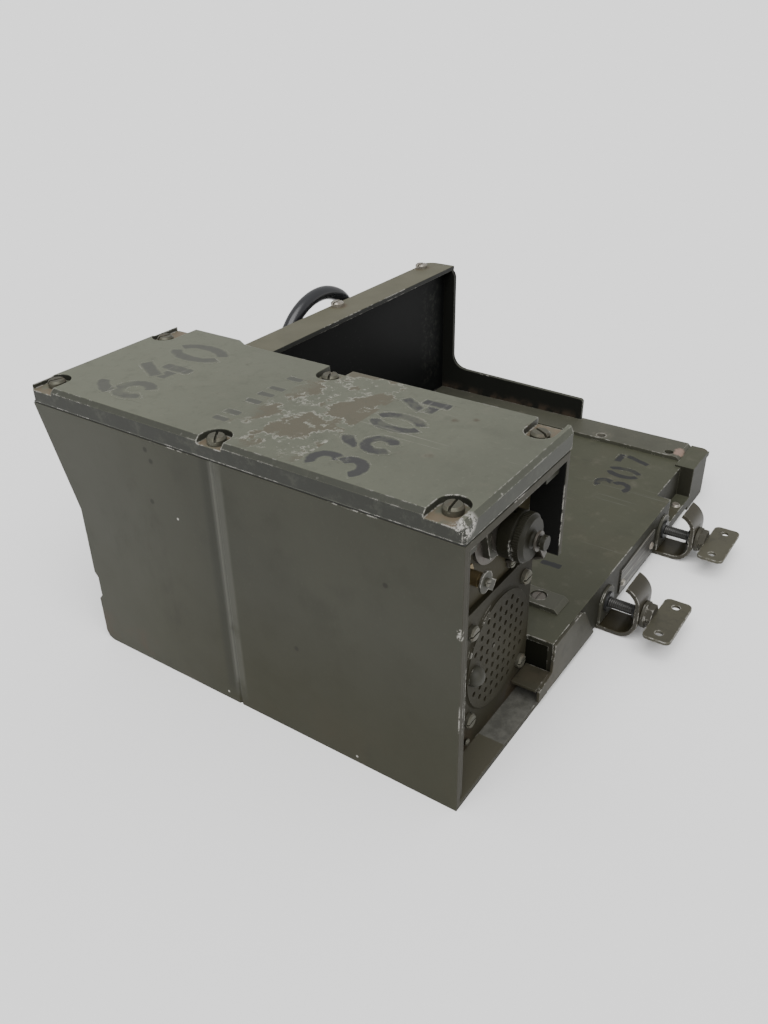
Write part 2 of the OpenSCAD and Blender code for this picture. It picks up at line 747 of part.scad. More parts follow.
// Gusset that ties the tray to the case's floor lip
module front_gusset() {
    t = 1.6;
    x0 = case_w - 15;
    color("darkolivegreen") bench() {
        along_y(-t, t) polygon([[x0, 4.6], [case_w + 62, tray_lift], [case_w + 43, deck_z - 3],
            [case_w + 38, deck_z - 0.4], [case_w + 2.5, deck_z - 0.4], [case_w + 0.6, 15], [x0, 12]]);
        translate([x0 - 2, -eps, 12.6]) cube([case_w - x0 + 3.5, speaker_plate_y - 0.3 + eps, t]);
    }
}

// A rail with a chamfered front end, lying on the deck
module rail_bar(x0, w, y0, length) {
    along_x(x0, w) polygon([[y0, deck_z], [y0 + length, deck_z], [y0 + length, rail_z], [y0 + 2.6, rail_z],
        [y0, deck_z + 0.4]]);
}

module right_rail() {
    color("darkolivegreen") bench() difference() {
        rail_bar(total_w - rail_w, rail_w, corner_d + 0.3, guard_panel_y - corner_d - 0.7);
        // room for the fence that stands on the deck's edge
        translate([total_w - guard_t - 0.4, fence_y - 0.4, deck_z - 1])
            cube([guard_t + 1, tray_d, rail_h + 2]);
        for (y = rail_hole_ys) translate([rail_hole_x, y, deck_z - 1])
            cylinder(d = rail_hole_d, h = rail_h + 2);
    }
}

module left_rail() {
    color("darkolivegreen") bench() difference() {
        rail_bar(left_rail_x, left_rail_w, 9.5, guard_panel_y - 9.9);
        for (y = left_rail_screw_ys) translate([left_rail_x + left_rail_w * 0.55, y, deck_z]) {
            translate([0, 0, -1]) cylinder(d = 5.4, h = rail_h + 2);
            translate([0, 0, rail_h - 1.9]) cylinder(d = 10, h = 3);
        }
    }
}

module rail_screws() {
    color("gray") bench() for (y = left_rail_screw_ys)
        translate([left_rail_x + left_rail_w * 0.55, y, rail_z - 1.9]) slotted_screw(9, 1.6, 5, 7);
}

module pocket_rivet() {
    x = total_w - corner_w - pocket_w + 33;
    color("silver") bench() translate([x, 4.5, 11]) {
        cylinder(d1 = 7, d2 = 5, h = 1.6);
        translate([0, 0, -3.2]) cylinder(d = 4, h = 3.3);
    }
}

// ---- Guard ----

// Side outline of the guard's right wall: the upright and the low fence
module fence_outline() {
    r = 12;
    top_r = 8;
    end_r = 2.5;
    top = guard_z - guard_t / 2;
    inner_z = fence_z + fence_rise;
    union() {
        translate([guard_wall_y, deck_z]) square([tray_d - guard_wall_y, top - top_r - deck_z]);
        translate([guard_wall_y + top_r, deck_z]) square([tray_d - guard_wall_y - top_r, top - deck_z]);
        translate([guard_wall_y + top_r, top - top_r]) circle(r = top_r);
        polygon([[fence_y, deck_z], [guard_wall_y + 1, deck_z], [guard_wall_y + 1, inner_z],
            [fence_y + end_r, fence_z], [fence_y, fence_z - end_r]]);
        translate([fence_y + end_r, fence_z - end_r]) circle(r = end_r);
        difference() {
            translate([guard_wall_y - r, inner_z - 1]) square([r + 1, r + 1]);
            translate([guard_wall_y - r, inner_z + r]) circle(r = r);
        }
    }
}

// Upright bend that joins the guard's right wall to its rear skin
module guard_corner(h) {
    r = guard_corner_r;
    translate([total_w - r, tray_d - r, deck_z]) intersection() {
        difference() {
            cylinder(r = r, h = h);
            translate([0, 0, -1]) cylinder(r = r - guard_t, h = h + 2);
        }
        cube([r + 1, r + 1, h]);
    }
}

module guard_frame() {
    x0 = case_w + 1;
    r = guard_corner_r;
    color("darkolivegreen") bench() difference() {
        union() {
            along_x(total_w - guard_t, guard_t) fence_outline();
            translate([x0, guard_y, guard_z - guard_t]) cube([total_w - x0, guard_depth, guard_t]);
            translate([x0, tray_d - guard_t, deck_z]) cube([total_w - x0, guard_t, guard_z - deck_z]);
            guard_corner(guard_z - deck_z - 1);
            // foot flange on the tray's rear edge
            translate([x0, tray_d - 14, deck_z]) cube([total_w - x0 - guard_t, 12.5, guard_t]);
            // left end plate against the case
            translate([case_w, guard_panel_y + guard_panel_t, deck_z])
                cube([guard_t, tray_d - guard_panel_y - guard_panel_t, guard_z - deck_z]);
        }
        // round bend at the rear right
        translate([total_w - r, tray_d - r, deck_z - 1]) difference() {
            cube([r + 1, r + 1, guard_z]);
            translate([0, 0, -1]) cylinder(r = r, h = guard_z + 2);
        }
        for (x = guard_screw_xs) translate([x, tray_d - 5.5, guard_z - 6]) cylinder(d = 4.4, h = 10);
        rod_y(socket2_x, tray_d - guard_t - 1, socket2_z, 16.4, guard_t + 2);
        // bend along the top of the rear skin
        translate([case_w - 1, tray_d, guard_z]) rotate([45, 0, 0])
            translate([0, -1, -1]) cube([tray_w + 2, 2, 2]);
    }
}

module guard_panel() {
    color("black") bench() translate([case_w + 0.5, guard_panel_y, rail_z + 0.2])
        cube([guard_panel_x - case_w + 2, guard_panel_t, guard_z - guard_t - rail_z - 0.2]);
}

module guard_screws() {
    color("silver") bench() for (x = guard_screw_xs)
        translate([x, tray_d - 5.5, guard_z]) slotted_screw(9.6, 3.4, 4, guard_t + 5);
}

module blank_plate() {
    color("gray") bench() difference() {
        translate([blank_x, -1, blank_z]) cube([blank_w, 1, 18]);
        for (x = blank_rivet_xs) rod_y(x, -2, blank_z + 7, 3.2, 4);
    }
}

module blank_plate_rivets() {
    color("silver") bench() for (x = blank_rivet_xs) {
        translate([x, -1, blank_z + 7]) rotate([90, 0, 0]) cylinder(d1 = 5.4, d2 = 3.6, h = 1.3);
        rod_y(x, -1 - eps, blank_z + 7, 3, tray_t + 1);
    }
}

// ---- Clamps ----

module clamp_pads() {
    color("darkolivegreen") bench() for (x = clamp_centres) difference() {
        along_y(-pad_t, pad_t) union() {
            translate([x - strap_w / 2, tray_lift]) square([strap_w, screw_z - tray_lift]);
            translate([x, screw_z]) circle(d = strap_w);
        }
        rod_y(x, -pad_t - 1, screw_z, 9.8, pad_t + 2);
    }
}

module clamp_bushes() {
    color("black") bench() for (x = clamp_centres) difference() {
        union() {
            rod_y(x, -pad_t - 1.6, screw_z, 13, 1.6);
            rod_y(x, -pad_t - eps, screw_z, 9.6, pad_t + 9);
        }
        rod_y(x, -pad_t - 3, screw_z, screw_d + 2 * thread_clear, pad_t + 14);
    }
}

// Hook: an arm under the tray's front edge, an upright and a claw curling back
module hook(x) {
    lift = 0.4;
    bend_r = 13;
    claw_r = 13.5;
    claw_z = hook_top - claw_r;
    boss_t = 1.8;
    color("darkkhaki") bench() difference() {
        union() {
            along_x(x - strap_w / 2, strap_w) union() {
                translate([-hook_reach + bend_r, lift]) square([hook_reach - bend_r + 20, strap_t]);
                translate([-hook_reach, lift + bend_r]) square([strap_t, claw_z - lift - bend_r]);
                translate([-hook_reach + bend_r, lift + bend_r]) ring_sector(bend_r, strap_t, 180, 270);
                translate([-hook_reach + claw_r, claw_z]) ring_sector(claw_r, strap_t, 108, 180);
            }
            rod_y(x, -hook_reach + strap_t - eps, screw_z, 13, boss_t);
        }
        rod_y(x, -hook_reach - 1, screw_z, screw_d + 2 * screw_clear, strap_t + boss_t + 2);
    }
}

// Screw: rod, round shoulder and a slotted hexagon for the wing plate
module clamp_screw(x) {
    shoulder_y = -hook_reach - 0.3;
    color("black") bench() difference() {
        union() {
            rod_y(x, shoulder_y - eps, screw_z, screw_d, hook_reach + 16);
            rod_y(x, shoulder_y - 2.2, screw_z, 17, 2.2);
            translate([x, shoulder_y - 2.2 + eps, screw_z]) rotate([90, 0, 0])
                cylinder(d = 15.5, h = 4, $fn = 6);
        }
        translate([x - 10, shoulder_y - 7, screw_z - wing_t / 2]) cube([20, 3.8, wing_t]);
    }
}

module wing(x) {
    back_y = -hook_reach - 6.3;
    color("darkkhaki") bench() translate([x, 0, screw_z - wing_t / 2]) difference() {
        union() {
            translate([0, back_y - wing_d / 2, 0]) linear_extrude(wing_t) rounded_square(wing_w, wing_d, 4);
            translate([-6.4, back_y - 1, 0]) cube([12.8, 3.6, wing_t]);
        }
        for (i = [-1, 1]) translate([i * wing_w * 0.337, back_y - wing_d / 2, -1])
            cylinder(d = 5, h = wing_t + 2);
    }
}

module retainer(x) {
    y0 = -hook_reach + strap_t + 1.8 + 0.3;
    color("black") bench() difference() {
        rod_y(x, y0, screw_z, 11, 1.2);
        rod_y(x, y0 - 1, screw_z, screw_d, 4);
    }
}

module left_hook() hook(clamp_centres[0]);
module left_screw() clamp_screw(clamp_centres[0]);
module left_wing() wing(clamp_centres[0]);
module left_retainer() retainer(clamp_centres[0]);
module right_hook() hook(clamp_centres[1]);
module right_screw() clamp_screw(clamp_centres[1]);
module right_wing() wing(clamp_centres[1]);
module right_retainer() retainer(clamp_centres[1]);

// ---- Cable ----

function unit(v) = v / norm(v);
function tangent(i) = unit(cable_points[min(i + 1, len(cable_points) - 1)] - cable_points[max(i - 1, 0)]);

// One ring of the cable's surface, square to its route
function cable_ring(i) =
    let (t = tangent(i), side = unit(cross(t, [0.05, 1, 0.03])), up = cross(side, t))
    [for (k = [0 : cable_sides - 1])
        let (a = 360 * k / cable_sides)
        cable_points[i] + (side * cos(a) + up * sin(a)) * cable_d / 2];

module cable() {
    n = len(cable_points);
    points = [for (i = [0 : n - 1]) each cable_ring(i)];
    walls = [for (i = [0 : n - 2], k = [0 : cable_sides - 1])
        let (a = i * cable_sides + k, b = i * cable_sides + (k + 1) % cable_sides)
        [a, b, b + cable_sides, a + cable_sides]];
    first = [for (k = [cable_sides - 1 : -1 : 0]) k];
    last = [for (k = [0 : cable_sides - 1]) (n - 1) * cable_sides + k];
    color("black") bench() polyhedron(points, concat([first, last], walls), convexity = 6);
}

module case_gland() {
    x = cable_points[0][0];
    z = cable_points[0][2];
    color("black") bench() difference() {
        union() {
            rod_y(x, lower_d - wall_t - 2, z, 12, wall_t + 2 + 5);
            translate([x, lower_d, z]) rotate([-90, 0, 0]) cylinder(d = 20, h = 3.5, $fn = 6);
            rod_y(x, lower_d + 3.5 - eps, z, cable_d + 3.7, cable_points[0][1] - lower_d - 3.5);
        }
    }
}

module guard_socket() {
    color("gray") bench() {
        rod_y(socket2_x, tray_d - guard_t - 3, socket2_z, 16, guard_t + 4);
        rod_y(socket2_x, tray_d, socket2_z, 24, 2);
    }
}

module cable_elbow() {
    x = socket2_x;
    y = cable_points[len(cable_points) - 1][1];
    z = cable_points[len(cable_points) - 1][2];
    color("dimgray") bench() {
        rod_y(x, tray_d + 2, socket2_z, 21, y - tray_d + 4);
        translate([x, y, socket2_z]) cylinder(d = cable_d + 1.7, h = z - socket2_z);
    }
}

case_shell();
case_lid();
lid_gasket();
lid_screws();
connector_panel();
speaker_plate();
plate_screws();
grille_dome();
speaker_frame();
speaker_magnet();
speaker_cone();
socket_flange();
socket_shell();
socket_nut();
socket_insert();
dust_cap();
cap_lanyard();
lanyard_screw();
lever_bush();
lever_shaft();
switch_lever();
lever_screw();
switch_body();
chassis_plate();
transformer_core();
transformer_coil();
filter_capacitors();
circuit_board();
board_posts();
heat_sink();
power_transistors();
tray_pan();
tray_bolts();
front_gusset();
right_rail();
left_rail();
rail_screws();
pocket_rivet();
guard_frame();
guard_panel();
guard_screws();
blank_plate();
blank_plate_rivets();
clamp_pads();
clamp_bushes();
left_hook();
left_screw();
left_wing();
left_retainer();
right_hook();
right_screw();
right_wing();
right_retainer();
cable();
case_gland();
guard_socket();
cable_elbow();
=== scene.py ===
"""Looks of the vehicle amplifier with its radio tray: worn olive paint, a scraped lid with
stencilled figures, threaded clamps, dull fittings and a black cable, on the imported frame."""
import json

import bpy
import numpy as np
from mathutils import Matrix, Vector


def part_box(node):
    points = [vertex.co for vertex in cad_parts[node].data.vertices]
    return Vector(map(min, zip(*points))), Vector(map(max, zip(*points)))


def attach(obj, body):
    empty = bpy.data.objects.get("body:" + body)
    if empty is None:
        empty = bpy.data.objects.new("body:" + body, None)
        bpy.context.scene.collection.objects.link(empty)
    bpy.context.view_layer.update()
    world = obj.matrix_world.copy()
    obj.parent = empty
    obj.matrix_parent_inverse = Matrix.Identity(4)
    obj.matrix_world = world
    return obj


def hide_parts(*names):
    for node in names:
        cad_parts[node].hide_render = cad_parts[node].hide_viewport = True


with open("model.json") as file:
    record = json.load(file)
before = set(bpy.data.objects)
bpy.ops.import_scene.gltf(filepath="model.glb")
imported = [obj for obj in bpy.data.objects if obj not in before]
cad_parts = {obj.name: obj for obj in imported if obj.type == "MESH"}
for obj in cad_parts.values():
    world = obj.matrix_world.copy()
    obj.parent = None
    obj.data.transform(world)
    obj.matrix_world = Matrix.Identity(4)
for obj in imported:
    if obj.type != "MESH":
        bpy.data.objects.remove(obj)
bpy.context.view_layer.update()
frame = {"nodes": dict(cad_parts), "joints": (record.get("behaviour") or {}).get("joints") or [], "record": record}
NODES = frame["nodes"]
SLOT_OF = {s["node"]: s["material_slot"] for s in frame["record"]["subparts"]}
JOINTS = {j["name"]: j for j in frame["joints"]}
MOUNTS = {m["name"]: m for m in frame["record"]["mounts"]}
X, Y, Z = range(3)

# The bench frame is in millimetres: x from the case's left wall, y from its front edge, z up.
# CENTRE is where the row frame's origin lies on it.
CENTRE = 0.0 - np.round(1000 * np.array(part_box("case_shell")[0]), 2)


def row(points):
    """Bench millimetres to row-frame metres: (p - centre) / 1000."""
    return (np.asarray(points, dtype=float) - CENTRE) * 0.001


def to_bench(point):
    """A row-frame point in metres to bench millimetres: 1000 p + centre, to 0.01 mm."""
    return np.round(1000 * np.array(point) + CENTRE, 2)


def lowest(node):
    """A node's lowest corner on the bench."""
    return to_bench(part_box(node)[0])


def highest(node):
    """A node's highest corner on the bench."""
    return to_bench(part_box(node)[1])


LID_TOP = highest("case_lid")[Z]
FLANGE_TOP = highest("guard_frame")[Z]
RAIL_TOP = highest("right_rail")[Z]
DECK_TOP = lowest("right_rail")[Z]


# ---------------------------------------------------------------- camera, floor and light

def add_object(name, data):
    """A new object in the scene that holds the data."""
    obj = bpy.data.objects.new(name, data)
    bpy.context.scene.collection.objects.link(obj)
    return obj


def make_camera():
    """A pinhole at its place, turned by three unit rows: right, down and forward."""
    right = np.array([0.5620, -0.8269, -0.0168])
    down = np.array([-0.4306, -0.2752, -0.8596])
    forward = np.cross(right, down)
    data = bpy.data.cameras.new("camera")
    data.lens = 32.12
    data.sensor_width = 36.0
    data.clip_start, data.clip_end = 0.01, 200.0
    cam = add_object("camera", data)
    place = Matrix.Identity(4)
    for k in range(3):
        place[k][0], place[k][1], place[k][2] = right[k], -down[k], -forward[k]
        place[k][3] = row([-274.9, -151.0, 358.1])[k]
    cam.matrix_world = place
    bpy.context.scene.camera = cam


def make_sun(source, strength, spread):
    """A wide soft sun shining from a direction, its spread in degrees."""
    data = bpy.data.lights.new("soft_sun", "SUN")
    data.energy, data.angle = strength, np.radians(spread)
    lamp = add_object("soft_sun", data)
    lamp.rotation_euler = Vector(source).to_track_quat("Z", "Y").to_euler()


def make_stage(reach, pale, sky_strength):
    """A matt pale floor, reach metres to each side, under an even white sky."""
    mesh = bpy.data.meshes.new("floor")
    corners = [(-reach, -reach, 0), (reach, -reach, 0), (reach, reach, 0), (-reach, reach, 0)]
    mesh.from_pydata(corners, [], [(0, 1, 2, 3)])
    mat = bpy.data.materials.new("pale_floor")
    mat.use_nodes = True
    shader = mat.node_tree.nodes["Principled BSDF"]
    shader.inputs["Base Color"].default_value = (pale, pale, pale, 1)
    shader.inputs["Roughness"].default_value = 1.0
    shader.inputs["Specular IOR Level"].default_value = 0.0
    mesh.materials.append(mat)
    add_object("floor", mesh)
    world = bpy.data.worlds.new("sky")
    bpy.context.scene.world = world
    world.use_nodes = True
    sky = world.node_tree.nodes["Background"]
    sky.inputs["Color"].default_value = (1, 1, 1, 1)
    sky.inputs["Strength"].default_value = sky_strength


make_camera()
make_stage(reach=60, pale=0.95, sky_strength=0.75)
make_sun(source=(-0.45, -0.25, 0.86), strength=3.2, spread=60)


# ---------------------------------------------------------------- paint building

class Paint:
    """A material under construction: each call adds one shader node and links it."""

    def __init__(self, name):
        self.mat = bpy.data.materials.new(name)
        self.mat.use_nodes = True
        self.tree = self.mat.node_tree
        self.shader = self.tree.nodes["Principled BSDF"]
        self.place = self.node("ShaderNodeTexCoord").outputs["Object"]
        self.corner = None

    def node(self, kind, **values):
        """A new node with its settings."""
        n = self.tree.nodes.new(kind)
        for key, value in values.items():
            setattr(n, key, value)
        return n

    def feed(self, socket, value):
        """Links a socket to the value, or sets it; a colour gets its fourth number."""
        if isinstance(value, bpy.types.NodeSocket):
            self.tree.links.new(value, socket)
        elif isinstance(value, (tuple, list)) and len(value) == 3 and len(socket.default_value) == 4:
            socket.default_value = (*value, 1)
        else:
            socket.default_value = value

    def math(self, kind, a, b=0.0, c=0.0, clamp=False):
        """One arithmetic step, such as ADD or SUBTRACT."""
        n = self.node("ShaderNodeMath", operation=kind, use_clamp=clamp)
        for socket, value in zip(n.inputs, (a, b, c)):
            self.feed(socket, value)
        return n.outputs[0]

    def times(self, first, *rest):
        """The product of all."""
        for value in rest:
            first = self.math("MULTIPLY", first, value)
        return first

    def most(self, first, *rest):
        """The largest of all."""
        for value in rest:
            first = self.math("MAXIMUM", first, value)
        return first

    def noise(self, scale, detail, rough=0.55, stretch=(1, 1, 1), turn=(0, 0, 0)):
        """Cloudy noise from 0 to 1, scale clouds to the metre, drawn out and turned."""
        m = self.node("ShaderNodeMapping")
        self.feed(m.inputs["Vector"], self.place)
        m.inputs["Scale"].default_value = stretch
        m.inputs["Rotation"].default_value = turn
        n = self.node("ShaderNodeTexNoise")
        self.feed(n.inputs["Vector"], m.outputs[0])
        self.feed(n.inputs["Scale"], scale)
        self.feed(n.inputs["Detail"], detail)
        self.feed(n.inputs["Roughness"], rough)
        return n.outputs["Fac"]

    def ramp(self, value, low, high):
        """0 at low, 1 at high, smooth between; low may be the larger."""
        n = self.node("ShaderNodeMapRange", interpolation_type="SMOOTHSTEP")
        self.feed(n.inputs["Value"], value)
        self.feed(n.inputs["From Min"], low)
        self.feed(n.inputs["From Max"], high)
        return n.outputs["Result"]

    def patches(self, scale, detail, low, high, rough=0.55, stretch=(1, 1, 1)):
        """Noise cut into patches: 0 where it is below low, 1 where it is above high."""
        return self.ramp(self.noise(scale, detail, rough, stretch), low, high)

    def mix(self, share, a, b):
        """The colour a (1 - share) + b share."""
        n = self.node("ShaderNodeMix", data_type="RGBA")
        self.feed(n.inputs[0], share)
        self.feed(n.inputs[6], a)
        self.feed(n.inputs[7], b)
        return n.outputs[2]

    def over(self, skin, colour, *masks):
        """The skin with a colour laid over it, its share the product of the masks."""
        return self.mix(self.times(*masks), skin, colour)

    def blend(self, share, a, b):
        """The number a (1 - share) + b share."""
        n = self.node("ShaderNodeMix", data_type="FLOAT")
        self.feed(n.inputs[0], share)
        self.feed(n.inputs[2], a)
        self.feed(n.inputs[3], b)
        return n.outputs[0]

    def bench(self, axis):
        """A bench coordinate in millimetres: object coordinate times 1000 plus the centre."""
        n = self.node("ShaderNodeSeparateXYZ")
        self.feed(n.inputs[0], self.place)
        return self.math("MULTIPLY_ADD", n.outputs[axis], 1000.0, float(CENTRE[axis]))

    def inside(self, value, low, high, soft):
        """1 between low and high, with rims soft millimetres wide."""
        return self.times(self.ramp(value, low - soft, low), self.ramp(value, high + soft, high))

    def near(self, points, radius, soft):
        """1 within radius of any of the bench points, fading over soft millimetres."""
        found = None
        for point in points:
            n = self.node("ShaderNodeVectorMath", operation="DISTANCE")
            self.feed(n.inputs[0], self.place)
            n.inputs[1].default_value = tuple(row(point))
            dot = self.ramp(n.outputs["Value"], (radius + soft) * 0.001, radius * 0.001)
            found = dot if found is None else self.most(found, dot)
        return found

    def facing(self, axis):
        """How far the surface faces along an axis, from -1 to 1."""
        n = self.node("ShaderNodeSeparateXYZ")
        self.feed(n.inputs[0], self.node("ShaderNodeNewGeometry").outputs["Normal"])
        return n.outputs[axis]

    def attribute(self, name):
        """A number carried by the mesh."""
        return self.node("ShaderNodeAttribute", attribute_name=name).outputs["Fac"]

    def rounded(self, radius):
        """The normal as if edges were rounded to a radius in metres."""
        n = self.node("ShaderNodeBevel", samples=6)
        self.feed(n.inputs["Radius"], radius)
        return n.outputs["Normal"]

    def lean(self, radius=0.0012):
        """0 on flat faces, towards 1 at corners: 1 - rounded normal . normal, worked out once."""
        if self.corner is None:
            n = self.node("ShaderNodeVectorMath", operation="DOT_PRODUCT")
            self.feed(n.inputs[0], self.rounded(radius))
            self.feed(n.inputs[1], self.node("ShaderNodeNewGeometry").outputs["Normal"])
            self.corner = self.math("SUBTRACT", 1.0, n.outputs["Value"], clamp=True)
        return self.corner

    def chips(self, coarse, low, fine):
        """Bare spots at corners: the lean there, times coarse patches, times fine breaks."""
        return self.times(self.ramp(self.lean(), 0.02, 0.10),
                          self.patches(coarse, 3, low, low + 0.06),
                          self.patches(fine, 5, 0.46, 0.54, 0.7))

    def scratches(self, turn, where, low):
        """Long thin lines: noise drawn out along one turned direction, its crests kept."""
        line = self.noise(700, 2, 0.5, (1, 0.02, 1), turn)
        return self.times(self.ramp(line, 0.68, 0.74), self.patches(where, 3, low, low + 0.06))

    def finish(self, colour, rough, metal, relief, height, radius, strength, specular=0.35):
        """Feeds the shader: relief of a height, on a normal whose edges are rounded to a
        radius, both in metres. Returns the material."""
        self.feed(self.shader.inputs["Base Color"], colour)
        self.feed(self.shader.inputs["Roughness"], rough)
        self.feed(self.shader.inputs["Metallic"], metal)
        self.shader.inputs["Specular IOR Level"].default_value = specular
        n = self.node("ShaderNodeBump")
        self.feed(n.inputs["Height"], relief)
        n.inputs["Distance"].default_value = height
        n.inputs["Strength"].default_value = strength
        if radius:
            self.feed(n.inputs["Normal"], self.rounded(radius))
        self.feed(self.shader.inputs["Normal"], n.outputs[0])
        return self.mat


BARE = (0.36, 0.35, 0.32)
BROWN = (0.060, 0.043, 0.028)
DUST = (0.15, 0.135, 0.105)
INK = (0.012, 0.012, 0.015)


def tone(colour, share):
    """A colour made darker or paler: each of its numbers times share."""
    return tuple(c * share for c in colour)


def olive_coat(p, colour, mottle, grime, dust):
    """Matt olive paint: slow cloudy mottling, darker rubs, fine grain, brown grime low down
    and pale dust on faces that look up. Returns its colour, roughness and relief."""
    slow, middle, fine = p.noise(8, 5), p.noise(38, 6, 0.62), p.noise(520, 3)
    skin = p.mix(p.ramp(slow, 0.3, 0.7), tone(colour, 1 - mottle), tone(colour, 1 + mottle))
    skin = p.over(skin, tone(colour, 0.7), p.ramp(middle, 0.5, 0.72), 0.35)
    skin = p.over(skin, tone(colour, 1.6), p.ramp(fine, 0.58, 0.75), 0.22)
    if grime:
        low = p.ramp(p.bench(Z), 45, 0)
        skin = p.over(skin, BROWN, low, p.patches(26, 6, 0.46, 0.68), grime)
    if dust:
        up = p.ramp(p.facing(Z), 0.75, 0.97)
        skin = p.over(skin, DUST, up, p.patches(70, 6, 0.52, 0.8, 0.7), dust)
    rough = p.blend(middle, 0.50, 0.66)
    relief = p.math("ADD", p.times(fine, 0.4), p.times(middle, 0.6))
    return skin, rough, relief


def wear(p, skin, rough, colour, rim, coarse, low, fine=190, loose=None, keep=None):
    """Rubbed corners: a thin paler rim, then bright chips; loose adds bare spots elsewhere and
    keep, from 0 to 1, holds the chips back. Returns colour, roughness and metal."""
    skin = p.over(skin, tone(colour, 2.1), p.ramp(p.lean(), 0.03, 0.2), rim)
    bare = p.chips(coarse, low, fine)
    if keep is not None:
        bare = p.times(bare, keep)
    if loose is not None:
        bare = p.most(bare, loose)
    return p.mix(bare, skin, BARE), p.blend(bare, rough, 0.42), p.times(bare, 0.45)


def inked(p, skin, cover, ink):
    """Stencil ink: full in the middle of a stroke, ragged at its rims, thin in worn places."""
    ragged = p.math("MULTIPLY_ADD", p.noise(110, 5, 0.72), 1.3, -0.82)
    edge = p.ramp(p.math("ADD", p.attribute("ink"), ragged), 0.22, 0.62)
    worn = p.ramp(p.noise(38, 5, 0.65), 0.64, 0.52)
    return p.over(skin, ink, edge, p.blend(worn, cover * 0.4, cover))


# ---------------------------------------------------------------- the paints

def case_paint():
    """The case: grey-olive above and painted darker and browner below as shade, paler to the rear as a
    painted sheen, a crease down the side with a painted highlight on it and painted shade beside it,
    a recess whose walls are painted near-black as shade and whose floor has a painted shadow on its
    left and a painted pool of light on its right, and a few chips."""
    colour = (0.0335, 0.0338, 0.0240)
    low_shade_brown, rear_sheen_pale = (0.0250, 0.0243, 0.0118), (0.058, 0.059, 0.047)
    crease_shade_dark, crease_highlight_pale = (0.015, 0.0155, 0.0115), (0.105, 0.106, 0.092)
    mark_black, cloud_dark = (0.012, 0.011, 0.008), (0.017, 0.017, 0.011)
    rear_rust, rim_brown = (0.050, 0.038, 0.026), (0.023, 0.0202, 0.0112)
    recess_shade_black, floor_shadow_brown = (0.0030, 0.0031, 0.0026), (0.066, 0.062, 0.045)
    pale_low, pale_high = (0.070, 0.069, 0.061), (0.118, 0.116, 0.103)
    p = Paint("case_paint")
    x, y, z = (p.bench(axis) for axis in (X, Y, Z))
    skin, rough, relief = olive_coat(p, colour, mottle=0.12, grime=0.5, dust=0)
    # painted shade: darker and browner towards the bottom
    skin = p.over(skin, low_shade_brown, p.ramp(z, 110, 10), 0.75)
    # painted sheen: paler towards the rear
    skin = p.over(skin, rear_sheen_pale, p.ramp(y, 120, 250), 0.45)

    # the left side: the crease's painted highlight and the painted shade beside it, marks and scratches, clouds,
    # and rust low at the rear
    flank = p.ramp(x, 1.6, 0.8)
    tall = p.times(flank, p.ramp(z, 3, 14))
    # painted shade in a band beside the crease
    skin = p.over(skin, crease_shade_dark, p.inside(y, 143.5, 147, 4.5), tall, 0.5)
    # painted highlight along the crease: a narrow line and a wider haze
    line = p.times(p.inside(y, 139.9, 142.2, 0.3), 0.75)
    haze = p.times(p.inside(y, 137, 142.5, 2.5), 0.3)
    skin = p.over(skin, crease_highlight_pale, p.most(line, haze), tall, p.patches(45, 3, 0.2, 0.5))
    dots = p.near([(0, 188, 149), (0, 185, 143), (0, 189, 118), (0, 40, 121), (0, 96, 60)],
                  radius=0.8, soft=1.2)
    scores = p.times(flank, p.scratches((0.5, 0, 0), 11, 0.60))
    skin = p.over(skin, mark_black, p.most(dots, scores), 0.7)
    skin = p.over(skin, cloud_dark, flank, p.patches(17, 6, 0.54, 0.70, 0.7, (1, 1, 0.5)), 0.35)
    low_rear = p.times(flank, p.inside(y, 208, 250, 8), p.inside(z, 6, 19, 6))
    skin = p.over(skin, rear_rust, low_rear, p.patches(50, 5, 0.42, 0.6), 0.6)

    # the recess: its walls painted near-black as shade, and its floor with a painted shadow on the left and a
    # painted pool of light on the right
    cheek = p.times(p.ramp(p.facing(X), -0.6, -0.9), p.ramp(x, 38, 42))
    inner = p.times(p.ramp(p.facing(X), 0.6, 0.9), p.ramp(x, 20, 12), p.ramp(y, 2, 5))
    # painted shade: the recess's side walls near-black
    skin = p.over(skin, recess_shade_black, p.most(cheek, p.times(inner, 0.6)))
    # painted shadow on the ledge left of x = 50, a painted pool of light to the right of it
    ledge = p.times(p.ramp(z, 4.2, 3.7), p.ramp(p.facing(Z), 0.6, 0.9), p.ramp(y, 20, 17))
    pale_patch = p.mix(p.patches(110, 6, 0.35, 0.65, 0.7), pale_low, pale_high)
    skin = p.over(skin, p.mix(p.ramp(x, 49.6, 50.4), floor_shadow_brown, pale_patch), ledge, 0.85)
    rim = p.times(p.ramp(p.facing(Y), -0.5, -0.9), p.ramp(y, 2, 1))
    skin = p.over(skin, rim_brown, rim, 0.85)

    specks = p.near([(0, 171, 113), (0, 60, 4), (0, 150, 5)], radius=0.45, soft=0.5)
    knocks = p.near([(0, 1, 111), (0, 1, 108)], radius=0.9, soft=1.2)
    knocks = p.times(knocks, p.patches(420, 4, 0.46, 0.52), 0.8)
    off_crease = p.math("SUBTRACT", 1.0, p.inside(y, 130, 150, 4))
    skin, rough, metal = wear(p, skin, rough, colour, rim=0.25, coarse=26, low=0.54, fine=260,
                              loose=p.most(specks, knocks), keep=off_crease)
    return p.finish(skin, rough, metal, relief,
                    height=0.0002, radius=0.0008, strength=0.3, specular=0.22)


